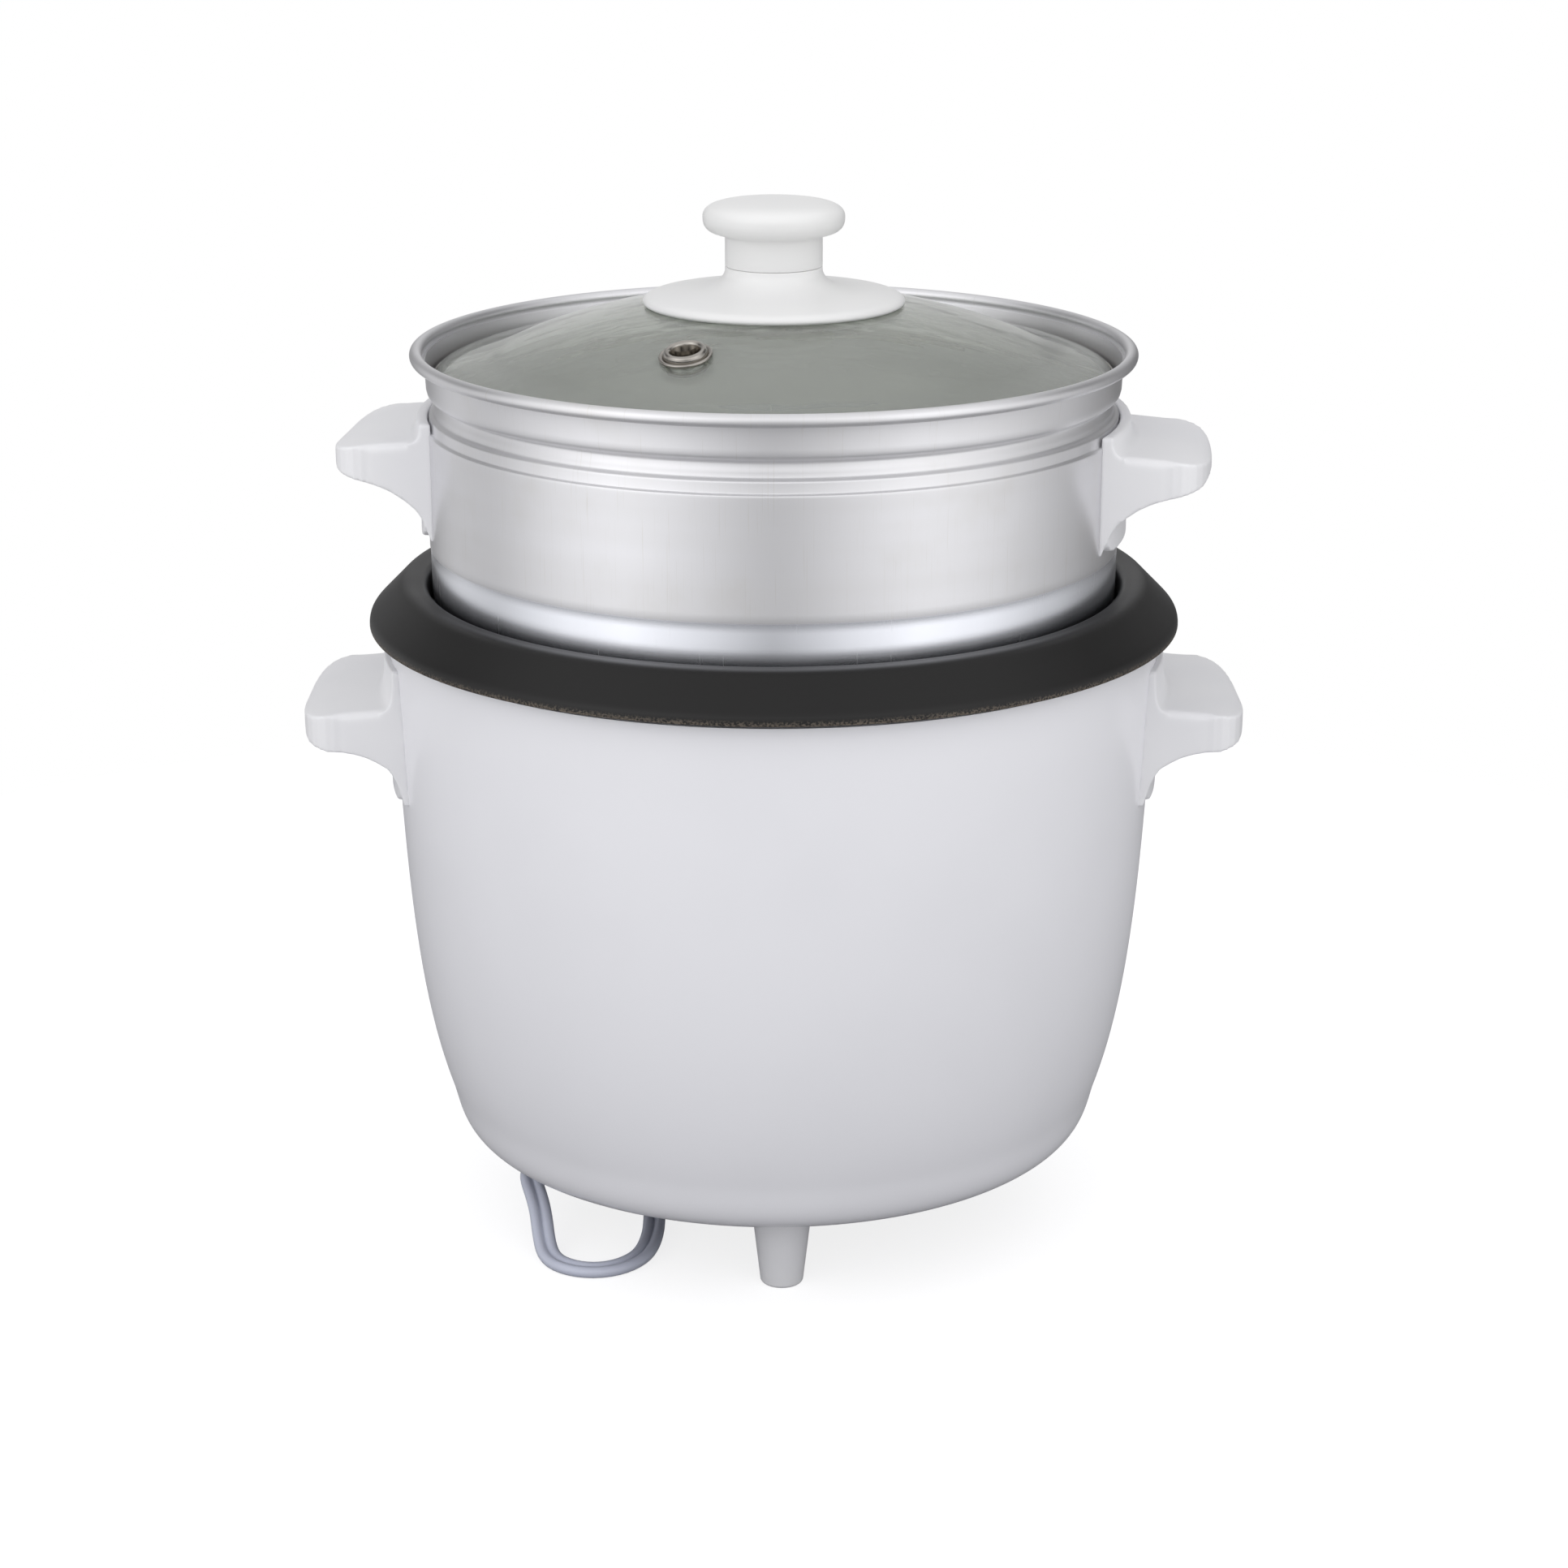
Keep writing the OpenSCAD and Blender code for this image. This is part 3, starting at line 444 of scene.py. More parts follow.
class Graph:
    """The nodes of one material or world."""

    def __init__(self, owner: bpy.types.Material | bpy.types.World) -> None:
        """Starts with no nodes.

        Args:
            owner: What the nodes belong to.
        """
        owner.use_nodes = True
        self.tree = owner.node_tree
        self.tree.nodes.clear()

    def node(
        self, kind: str, settings: Inputs | None = None, inputs: Inputs | None = None, output: str | int = 0
    ) -> Value:
        """Adds a node.

        Args:
            kind: The node's type without its first word.
            settings: Its own settings; stops are a colour ramp's positions and greys.
            inputs: Values or links of its sockets, by name or number.
            output: Which output to return.

        Returns:
            The chosen output.
        """
        made = self.tree.nodes.new("ShaderNode" + kind)
        for name, value in (settings or {}).items():
            if name == "stops":
                self._set_stops(made, value)
            else:
                setattr(made, name, value)
        for name, value in (inputs or {}).items():
            if isinstance(value, Value):
                self.tree.links.new(value.output, made.inputs[name])
            else:
                made.inputs[name].default_value = value
        return Value(self, made.outputs[output] if len(made.outputs) else None)

    @staticmethod
    def _set_stops(made: bpy.types.Node, stops: Sequence[Point]) -> None:
        """Sets a colour ramp's stops.

        Args:
            made: The ramp's node.
            stops: Positions and their greys, at least two.
        """
        elements = made.color_ramp.elements
        for _ in stops[2:]:
            elements.new(0.5)
        for element, (position, tone) in zip(elements, stops):
            element.position = position
            element.color = (tone, tone, tone, 1.0)

    def maths(self, operation: str, *values: "Value | float") -> Value:
        """Adds a Math node."""
        return self.node("Math", {"operation": operation}, dict(enumerate(values)))

    def vector(self, operation: str, *values: object) -> Value:
        """Adds a Vector Math node."""
        return self.node("VectorMath", {"operation": operation}, dict(enumerate(values)))

    def parts(self, vector: Value) -> tuple[Value, Value, Value]:
        """Returns a vector's three parts."""
        split = self.node("SeparateXYZ", inputs={0: vector})
        return tuple(Value(self, socket) for socket in split.output.node.outputs)

    def whole(self, x: Value | float, y: Value | float, z: Value | float) -> Value:
        """Returns the vector with these parts."""
        return self.node("CombineXYZ", inputs={0: x, 1: y, 2: z})

    def noise(self, at: Value, size: float, detail: float = 3.0, rough: float = 0.55) -> Value:
        """Returns cloudy noise from 0 to 1, with blots of size millimetres and finer layers on them."""
        inputs = {"Vector": at, "Scale": 1 / (size * MM), "Detail": detail, "Roughness": rough}
        return self.node("TexNoise", inputs=inputs)

    def colours(self, share: Value | float, first: object, second: object) -> Value:
        """Mixes two colours by the share of the second one."""
        settings = {"data_type": "RGBA", "blend_type": "MIX", "clamp_result": True}
        return self.node("Mix", settings, {0: share, 6: first, 7: second}, 2)

    def bump(self, height: Value, depth: float, under: Value | None = None) -> Value:
        """Returns a surface direction that follows a height.

        Args:
            height: The height, from 0 to 1.
            depth: What a height of 1 stands for, in millimetres.
            under: A direction that this one is laid over.

        Returns:
            The bumped direction.
        """
        inputs = {"Height": height, "Distance": depth * MM, "Strength": 1.0}
        if under:
            inputs["Normal"] = under
        return self.node("Bump", inputs=inputs)

    def end(self, shader: Value) -> None:
        """Leads a shader to the material's output."""
        self.node("OutputMaterial", inputs={"Surface": shader})


# ---- finishes ----


class Slot(StrEnum):
    """The record's material slots."""

    SHELL_PAINT = auto()
    LINER_STEEL = auto()
    WHITE_PLASTIC = auto()
    KNOB_PLASTIC = auto()
    FASTENER_STEEL = auto()
    SPRING_STEEL = auto()
    CAST_ALUMINIUM = auto()
    SPUN_ALUMINIUM = auto()
    NONSTICK = auto()
    MICA = auto()
    FERRITE = auto()
    BRASS = auto()
    BLACK_PLASTIC = auto()
    RED_PLASTIC = auto()
    AMBER_PLASTIC = auto()
    LAMP_GLASS = auto()
    WIRE_PVC = auto()
    CORD_PVC = auto()
    PLUG_PVC = auto()
    LID_GLASS = auto()
    POLISHED_STEEL = auto()
    SILICONE = auto()


@dataclass(frozen=True)
class Moulded:
    """Moulded plastic, rubber or sprayed paint: an even colour under a fine skin."""

    colour: str
    shade: str
    roughness: float = 0.34
    skin: float = 0.7
    depth: float = 0.006
    coat: float = 0.0
    clear: float = 0.0

    def inputs(self, graph: Graph, at: Value) -> Inputs:
        """Works out the shader's inputs.

        Args:
            graph: The material's nodes.
            at: The point on the piece, in metres.

        Returns:
            Numbers, colours and values, by the names of the shader's sockets.
        """
        cloud = graph.noise(at, 45, 2)
        skin = graph.noise(at, self.skin, 2, 0.6)
        wear = graph.noise(at, 30, 1).over(0.3, 0.8)
        return {
            "Base Color": graph.colours(cloud.over(0.35, 0.75), linear(self.colour), linear(self.shade)),
            "Roughness": self.roughness + 0.05 * wear + 0.02 * skin,
            "Normal": graph.bump(skin, self.depth, graph.bump(cloud, self.depth * 2)),
            "IOR": 1.5,
            "Coat Weight": self.coat,
            "Coat Roughness": 0.08,
            "Transmission Weight": self.clear,
        }


@dataclass(frozen=True)
class Spun:
    """Sheet metal spun or pressed on a lathe: fine rings, cloudy sheen and upright scuffs.

    The band between two heights, beyond a distance from the axis, is polished smoother, and a brighter, bluer
    colour is painted on it as a reflection.
    """

    colour: str
    tarnish: str
    roughness: float
    # painted reflection: the brighter, bluer colour painted on the band
    painted_sheen: str = "#ffffff"
    rings: float = 0.5
    depth: float = 0.004
    scuffs: float = 0.1
    brushed: float = 0.7
    # lowest height, highest height and least distance from the axis of the smoother band that carries the
    # painted reflection
    band: tuple[float, float, float] = (0.0, 0.0, 1e3)

    def inputs(self, graph: Graph, at: Value) -> Inputs:
        """Works out the shader's inputs.

        Args:
            graph: The material's nodes.
            at: The point on the piece, in metres.

        Returns:
            Numbers, colours and values, by the names of the shader's sockets.
        """
        x, y, z = graph.parts(at)
        reach = graph.maths("SQRT", x * x + y * y) + 1e-5
        around_x, around_y = x / reach, y / reach
        along = z + 1.7 * reach
        rings = graph.noise(graph.whole(0.0012 * around_x, 0.0012 * around_y, along), self.rings, 4, 0.7)
        bands = graph.noise(graph.whole(0.004 * around_x, 0.004 * around_y, along), 7, 2)
        upright = graph.whole(0.35 * around_x, 0.35 * around_y, 0.05 * along)
        scuffs = graph.noise(upright, 1.3, 3, 0.6).over(0.6, 0.78)
        cloud = graph.noise(at, 24, 4, 0.6)
        stain = cloud.over(0.5, 0.8)
        low, high, from_r = self.band
        below_top = 1 - z.over((high - 0.3) * MM, (high + 0.3) * MM)
        band = z.over((low - 1) * MM, low * MM) * below_top * reach.over((from_r - 1) * MM, from_r * MM)
        dim = self.roughness + 0.1 * (cloud - 0.5) + 0.08 * (bands - 0.5) + self.scuffs * scuffs
        dull = 0.25 * stain + 0.3 * bands + 0.6 * scuffs
        plain = graph.colours(dull, linear(self.colour), linear(self.tarnish))
        return {
            # the band's brighter, bluer colour is a painted reflection; its lower roughness below is real
            # polish
            "Base Color": graph.colours(band, plain, linear(self.painted_sheen)),
            "Metallic": 1.0,
            "Roughness": dim * (1 - 0.4 * band),
            "Normal": graph.bump(rings, self.depth, graph.bump(bands, self.depth * 4)),
            "Anisotropic": self.brushed,
            "Anisotropic Rotation": 0.25,
        }


@dataclass(frozen=True)
class Metal:
    """Cast, plated or drawn metal: a grainy sheen with spots of tarnish."""

    colour: str
    tarnish: str
    roughness: float
    grain: float = 0.5
    depth: float = 0.006
    spots: float = 0.35

    def inputs(self, graph: Graph, at: Value) -> Inputs:
        """Works out the shader's inputs.

        Args:
            graph: The material's nodes.
            at: The point on the piece, in metres.

        Returns:
            Numbers, colours and values, by the names of the shader's sockets.
        """
        grain = graph.noise(at, self.grain, 3, 0.6)
        cloud = graph.noise(at, 12, 4, 0.65)
        spots = cloud.over(0.52, 0.74)
        dull = self.spots * spots + 0.15 * grain
        return {
            "Base Color": graph.colours(dull, linear(self.colour), linear(self.tarnish)),
            "Metallic": 1.0,
            "Roughness": self.roughness + 0.14 * spots + 0.06 * grain,
            "Normal": graph.bump(grain, self.depth),
        }


@dataclass(frozen=True)
class Coating:
    """A dark non-stick coating, thin at the pot's cut edge where the metal grins through."""

    colour: str
    sheen_colour: str
    bare: str
    edge_z: float
    edge_r: float
    roughness: float = 0.38

    def inputs(self, graph: Graph, at: Value) -> Inputs:
        """Works out the shader's inputs.

        Args:
            graph: The material's nodes.
            at: The point on the piece, in metres.

        Returns:
            Numbers, colours and values, by the names of the shader's sockets.
        """
        x, y, z = graph.parts(at)
        reach = graph.maths("SQRT", x * x + y * y)
        pores = graph.noise(at, 0.55, 3, 0.6)
        flecks = graph.noise(at, 0.9, 2, 0.5).over(0.66, 0.74)
        cloud = graph.noise(at, 18, 3)
        near_edge = 1 - z.over((self.edge_z + 0.2) * MM, (self.edge_z + 2) * MM)
        near_edge = near_edge * reach.over((self.edge_r - 3) * MM, (self.edge_r - 2) * MM)
        grain = graph.noise(at, 0.6, 1, 0.7)
        bare = (grain + 0.12 * near_edge).over(0.46, 0.72) * near_edge
        dark = graph.colours(0.5 * cloud + 0.35 * flecks, linear(self.colour), linear(self.sheen_colour))
        return {
            "Base Color": graph.colours(bare, dark, linear(self.bare)),
            "Metallic": 0.85 * bare,
            "Roughness": self.roughness + 0.08 * (cloud - 0.5) + 0.12 * bare + 0.05 * pores,
            "Normal": graph.bump(pores + 1.4 * near_edge * grain, 0.016),
            "IOR": 1.4,
        }


@dataclass(frozen=True)
class Pane:
    """Clear glass with a faint tint and wiped smears."""

    tint: str
    roughness: float = 0.015

    def inputs(self, graph: Graph, at: Value) -> Inputs:
        """Works out the shader's inputs.

        Args:
            graph: The material's nodes.
            at: The point on the piece, in metres.

        Returns:
            Numbers, colours and values, by the names of the shader's sockets.
        """
        smear = graph.noise(graph.vector("MULTIPLY", at, (1.0, 2.6, 1.0)), 30, 3).over(0.5, 0.85)
        ripple = graph.noise(graph.vector("MULTIPLY", at, (0.7, 1.6, 1.0)), 26, 2)
        return {
            "Base Color": linear(self.tint),
            "Roughness": self.roughness + 0.02 * smear,
            "Normal": graph.bump(ripple, 0.16),
            "IOR": 1.5,
            "Transmission Weight": 0.86,
        }


Finish = Moulded | Spun | Metal | Coating | Pane

FINISHES: dict[Slot, Finish] = {
    Slot.SHELL_PAINT: Moulded("#f0f0f4", "#eeeef2", 0.29, skin=3.0, depth=0.0006, coat=0.3),
    Slot.WHITE_PLASTIC: Moulded("#eeeef0", "#e9e9ec", 0.36, skin=0.6, depth=0.008),
    Slot.KNOB_PLASTIC: Moulded("#eeeeed", "#ebebeb", 0.31, skin=0.8, depth=0.005),
    Slot.BLACK_PLASTIC: Moulded("#2a2a2c", "#323234", 0.42, depth=0.01),
    Slot.RED_PLASTIC: Moulded("#c23a2a", "#a52c20", 0.18, depth=0.003, clear=0.35),
    Slot.AMBER_PLASTIC: Moulded("#e0a032", "#c98922", 0.18, depth=0.003, clear=0.35),
    Slot.WIRE_PVC: Moulded("#d9d2c0", "#cfc7b3", 0.4, depth=0.006),
    Slot.CORD_PVC: Moulded("#ccd0df", "#c3c7d8", 0.33, skin=1.2, depth=0.01),
    Slot.PLUG_PVC: Moulded("#d8dae2", "#cfd2dc", 0.36, skin=0.7, depth=0.01),
    Slot.SILICONE: Moulded("#cfcfca", "#c6c6c0", 0.5, depth=0.012),
    Slot.MICA: Moulded("#9a8960", "#7f6f49", 0.42, skin=3.0, depth=0.04),
    Slot.FERRITE: Moulded("#3a3a3c", "#444446", 0.5, skin=0.5, depth=0.02),
    Slot.LAMP_GLASS: Moulded("#e6ded0", "#dfd6c6", 0.1, depth=0.002, clear=0.6),
    Slot.LINER_STEEL: Spun("#b4b6ba", "#9b9ea3", 0.36, rings=0.8),
    # eef0f6 is the painted reflection on the steamer's smoother lower band
    Slot.SPUN_ALUMINIUM: Spun("#e6e6e9", "#dad8d4", 0.39, "#eef0f6", rings=0.45, band=(186, 201.4, 95)),
    Slot.POLISHED_STEEL: Spun("#aca8a2", "#8d8882", 0.08, rings=0.3, depth=0.001, scuffs=0.03, brushed=0.0),
    Slot.CAST_ALUMINIUM: Metal("#c3c4c6", "#a7a8ab", 0.4, grain=0.9, depth=0.02),
    Slot.FASTENER_STEEL: Metal("#c4c3bd", "#a3a196", 0.3),
    Slot.SPRING_STEEL: Metal("#a5a6a8", "#85868a", 0.28),
    Slot.BRASS: Metal("#cda95a", "#a5803a", 0.27),
    Slot.NONSTICK: Coating("#0c0b0b", "#141312", "#6f675e", edge_z=178.9, edge_r=115.2),
    Slot.LID_GLASS: Pane("#e6eae2"),
}


class Dresser:
    """Makes each slot's material once and puts it on pieces."""

    def __init__(self, frame: dict[str, object]) -> None:
        """Keeps the frame whose nodes it dresses."""
        self.nodes: dict[str, Piece] = frame["nodes"]
        self.made: dict[Slot, bpy.types.Material] = {}

    def material(self, slot: Slot) -> bpy.types.Material:
        """Makes a slot's material when it is first asked for.

        Args:
            slot: The slot.

        Returns:
            Its material.
        """
        if slot not in self.made:
            material = bpy.data.materials.new(slot.value)
            graph = Graph(material)
            at = graph.node("TexCoord", output="Object")
            graph.end(graph.node("BsdfPrincipled", inputs=FINISHES[slot].inputs(graph, at)))
            self.made[slot] = material
        return self.made[slot]

    def dress(self, piece: Piece, slot: Slot, body: str, *nodes: str) -> None:
        """Finishes a piece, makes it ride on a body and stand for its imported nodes.

        Args:
            piece: The new piece.
            slot: The slot whose finish it takes.
            body: The body it moves with.
            *nodes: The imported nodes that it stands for.
        """
        piece.data.materials.clear()
        piece.data.materials.append(self.material(slot))
        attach(piece, body)
        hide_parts(*nodes)
        LOG.info("%s in %s on %s", piece.name, slot.value, body)

    def mould(
        self, name: str, slot: Slot, body: str, node: str,
        grain: float = MOULD_GRAIN, passes: int = MOULD_PASSES, sink: float = 0.0,
    ) -> Piece:
        """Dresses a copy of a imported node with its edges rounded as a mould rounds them.

        Args:
            name: The new piece's name.
            slot: The slot whose finish it takes.
            body: The body it moves with.
            node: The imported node.
            grain: Size of the new mesh's faces, in millimetres.
            passes: How often the mesh is smoothed.
            sink: How far the copy sinks towards the Z axis, in millimetres.

        Returns:
            The new piece.
        """
        piece = merged(name, [self.nodes[node].data], weld=1e-6)
        remesh = piece.modifiers.new("skin", "REMESH")
        remesh.mode, remesh.voxel_size, remesh.use_smooth_shade = "VOXEL", grain * MM, True
        smooth = piece.modifiers.new("soften", "SMOOTH")
        smooth.factor, smooth.iterations = 0.5, passes
        apply_modifiers(piece)
        piece.data.shade_smooth()
        for corner in piece.data.vertices:
            corner.co.xy *= 1 - sink * MM / max(corner.co.xy.length, TINY)
        self.dress(piece, slot, body, node)
        return piece

    def handles(self, body: str, name: str, tip: float, turn: float = 0.0) -> None:
        """Makes the two moulded handles of a body.

        Args:
            body: The body that they are screwed to.
            name: The first word of their nodes' and their own names.
            tip: Distance from the axis to a handle's end, in millimetres.
            turn: How far they are turned from the X axis, in degrees.
        """
        for side in ("left", "right"):
            node, grip = f"{name}_handle_{side}", f"{name}_grip_{side}"
            handle = self.mould(grip, Slot.WHITE_PLASTIC, body, node, sink=HANDLE_SINK)
            square_tip(handle, tip, turn)

    def finish_nodes(self) -> None:
        """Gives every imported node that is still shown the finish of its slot."""
        for node in self.nodes.values():
            for place in node.material_slots:
                name = place.material.name.split(".")[0] if place.material else ""
                if name in list(Slot):
                    place.material = self.material(Slot(name))


# ---- studio ----


@dataclass
class Studio:
    """Camera, floor and light: places in metres, lens and sensor in millimetres."""

    camera_at: Spot = (0.0, -0.986, 0.438)
    tilt: float = 17.48
    lens: float = 81.52
    sensor: float = 36.0
    shift: float = 0.0065
    floor_r: float = 0.5
    floor_round: int = 96
    floor_grey: Colour = (0.34, 0.34, 0.35, 1.0)
    floor_glow: float = 0.8

    def build(self) -> None:
        """Makes the camera, the floor and the surroundings."""
        scene = bpy.context.scene
        scene.view_settings.view_transform = "Standard"
        self._camera(scene)
        self._floor()
        self._surroundings(scene)

    def _camera(self, scene: bpy.types.Scene) -> None:
        """Makes the camera.

        Args:
            scene: The scene that it films.
        """
        data = bpy.data.cameras.new("camera")
        data.lens, data.sensor_width, data.shift_x = self.lens, self.sensor, self.shift
        data.clip_start, data.clip_end = 0.01, 50.0
        camera = bpy.data.objects.new("camera", data)
        camera.location = self.camera_at
        camera.rotation_euler = (math.radians(90 - self.tilt), 0, 0)
        scene.collection.objects.link(camera)
        scene.camera = camera

    def _floor(self) -> None:
        """Makes a pale round floor that keeps the cooker's shadow and glows only for the camera."""
        corners = range(self.floor_round)
        points = [(*polar(self.floor_r, 360 * i / self.floor_round), 0.0) for i in corners]
        floor = mesh_piece("floor", points, [corners])
        material = bpy.data.materials.new("floor")
        graph = Graph(material)
        pale = graph.node("BsdfDiffuse", inputs={"Color": self.floor_grey})
        seen = graph.node("LightPath", output="Is Camera Ray")
        glow = graph.node("Emission", inputs={"Color": WHITE, "Strength": self.floor_glow * seen})
        graph.end(graph.node("AddShader", inputs={0: pale, 1: glow}))
        floor.data.materials.append(material)

    def _surroundings(self, scene: bpy.types.Scene) -> None:
        """Makes a pale room, brightest between its front and its sides and dimmest behind its sides.

        The camera itself sees plain white. Ramp stops go from the front, at 0, to the back, at 1.

        Args:
            scene: The scene that they light.
        """
        world = bpy.data.worlds.new("studio")
        scene.world = world
        graph = Graph(world)
        direction = graph.node("TexCoord", output="Generated")
        x, y, z = graph.parts(direction)
        turn = graph.maths("ARCTAN2", abs(x), 0 - y) / math.pi
        low_stops = [
            (0.0, 0.4), (0.14, 0.74), (0.27, 1.0), (0.4, 0.86),
            (0.56, 0.52), (0.74, 0.38), (0.88, 0.14), (1.0, 0.62),
        ]
        high_stops = [(0.0, 0.74), (0.3, 1.0), (0.65, 0.09), (1.0, 0.4)]
        low_light, high_light, top_light, blueness = 1.3, 1.68, 0.94, 1.01
        low = low_light * graph.node("ValToRGB", {"stops": low_stops}, {"Fac": turn})
        low = low * (1 - 0.6 * x * y.over(0.2, 0.8))
        high = high_light * graph.node("ValToRGB", {"stops": high_stops}, {"Fac": turn}) * (1 - 0.12 * x)
        climb, overhead = z.over(0.12, 0.36), z.over(0.55, 0.85)
        level = low * (1 - climb) + high * climb * (1 - overhead) + top_light * overhead
        colour = graph.whole(level, level, level * blueness)
        lit = graph.node("Background", inputs={"Color": colour, "Strength": 1.0})
        plain = graph.node("Background", inputs={"Color": WHITE, "Strength": 1.0})
        seen = graph.node("LightPath", output="Is Camera Ray")
        both = graph.node("MixShader", inputs={0: seen, 1: lit, 2: plain})
        graph.node("OutputWorld", inputs={"Surface": both})


# ---- cord ----


@dataclass
class Cord:
    """The flat twin lead, its stored coil, its strain relief and its plug."""

    wire_r: float = 1.65
    leaves_at: Spot = (-69, -13, 14)
    length: float = 1.03  # in metres
    coil_at: Point = (4, 17)
    coil_wide: float = 39.2
    coil_tight: float = 25.9
    layer_low: float = 1.7
    layer_high: float = 5.1
    climb: float = 60.0
    turns: float = 4.0
    relief_at: Spot = (-50, 8, 14)
    # radius, foot and top of each round of the bushing
    bushing: tuple[tuple[float, float, float], ...] = (
        (8.0, 8.2, 21.2), (10.5, 21.2, 22.8), (8.0, 22.8, 24.0))
    sleeve_r: float = 5.2
    sleeve_taper: float = 1.0
    ribs: int = 7
    rib_depth: float = 0.7
    lead: Route = (
        (-69, -13, 14), (-70.6, -16.2, 14), (-71.4, -20, 13.9), (-71.4, -24.2, 13.6), (-70.6, -28.3, 13),
        (-69.5, -32.3, 11.9), (-68.4, -36.3, 10.3), (-67.5, -40.3, 8.2), (-66.8, -44.2, 5.8),
        (-66, -48, 3.6), (-64.8, -51.9, 2.2), (-62.7, -55.8, 1.7), (-59.6, -59.1, 1.7),
        (-55.7, -61.2, 1.7), (-51.4, -61.9, 1.7), (-47.1, -61.1, 1.7), (-43.3, -58.9, 1.7),
        (-40.2, -55.6, 1.7), (-38, -51.6, 1.7), (-36.6, -46.8, 1.7), (-35.7, -41, 1.7),
        (-35.2, -34, 1.7), (-35.2, -25, 1.7), (-35.2, -15, 1.7), (-35.2, 0, 1.7))
    tail: Route = (
        (-35.2, 28, 4.6), (-34.4, 38, 3.2), (-32.2, 47, 2.2), (-28.8, 55, 1.9), (-24.4, 62, 2.4),
        (-18.6, 68, 3.6), (-11.6, 72.4, 5.4), (-4, 74.5, 6.5))

    def _wound(self) -> Route:
        """Winds the coil's centre line, inwards on the floor and outwards on top.

        Returns:
            Its points, in millimetres.
        """
        whole = 360 * self.turns
        run = (whole - self.climb) / 2
        made = []
        steps = int(STEPS_A_TURN * self.turns)
        for i in range(steps + 1):
            a = whole * i / steps
            inwards, outwards = min(a / run, 1), max((a - run - self.climb) / run, 0)
            r = self.coil_wide + (self.coil_tight - self.coil_wide) * (inwards - outwards)
            rise = smooth_step((a - run) / self.climb)
            x, y = polar(r, 180 - a)
            z = self.layer_low + (self.layer_high - self.layer_low) * rise
            made.append((self.coil_at[0] + x, self.coil_at[1] + y, z))
        return made

    def _section(self) -> Outline:
        """Draws the section of two wires side by side.

        Returns:
            Its points, in millimetres.
        """
        r, open_side = self.wire_r, 152
        right = arc((r * 0.97, 0), r, -open_side, open_side, 16)
        left = [(-x, -y) for x, y in right]
        return right + left

    def build(self, dresser: Dresser) -> None:
        """Makes the cord, its plug and its strain relief.

        Args:
            dresser: Finishes the pieces.
        """
        path = smooth_route([*self.lead, *self._wound(), *self.tail], 2)
        cord = sweep("cord", path, self._section())
        dresser.dress(cord, Slot.CORD_PVC, "base", "power_cord", "cord_coil", "cord_tail")
        plug = dresser.mould("plug", Slot.PLUG_PVC, "base", "plug_body")
        self._relief(dresser)

    def _relief(self, dresser: Dresser) -> None:
        """Makes the bushing, of three rounds on each other, and its ribbed, tapering sleeve.

        Args:
            dresser: Finishes the pieces.
        """
        root = Vector(self.relief_at)
        rounds = [(r, z) for r, low, high in self.bushing for z in (low, high)]
        outline = [(0, rounds[0][1]), *rounds, (0, rounds[-1][1])]
        bushing = lathe("bushing", eased(outline, 0.8), moved(root.x, root.y, 0), SMALL_ROUND)
        run = Vector(self.leaves_at) - root
        place = moved(*root) @ run.to_track_quat("Z", "Y").to_matrix().to_4x4()
        sleeve = lathe("sleeve", eased(self._ribs(run.length), 0.25), place, SMALL_ROUND)
        dresser.dress(joined("strain_sleeve", [bushing, sleeve]), Slot.WHITE_PLASTIC, "base", "strain_relief")

    def _ribs(self, length: float) -> Outline:
        """Draws the sleeve, whose ribs take up most of its length.

        Args:
            length: Its length, in millimetres.

        Returns:
            Distances from its axis and heights.
        """
        plain, ribbed, rib, bevel = 0.3, 0.68, 0.55, 0.3
        tip_r = self.sleeve_r - self.sleeve_taper
        outline = [(0, 0), (self.sleeve_r, 0)]
        for i in range(self.ribs):
            low, high, after = (length * (plain + ribbed * (i + part) / self.ribs) for part in (0, rib, 1))
            r = self.sleeve_r - self.sleeve_taper * low / length
            valley = r - self.rib_depth
            outline += [(r, low), (r, high), (valley, high + bevel), (valley, after - bevel)]
        return [*outline, (tip_r, length - 0.5), (tip_r - bevel, length), (0, length)]


# ---- body ----


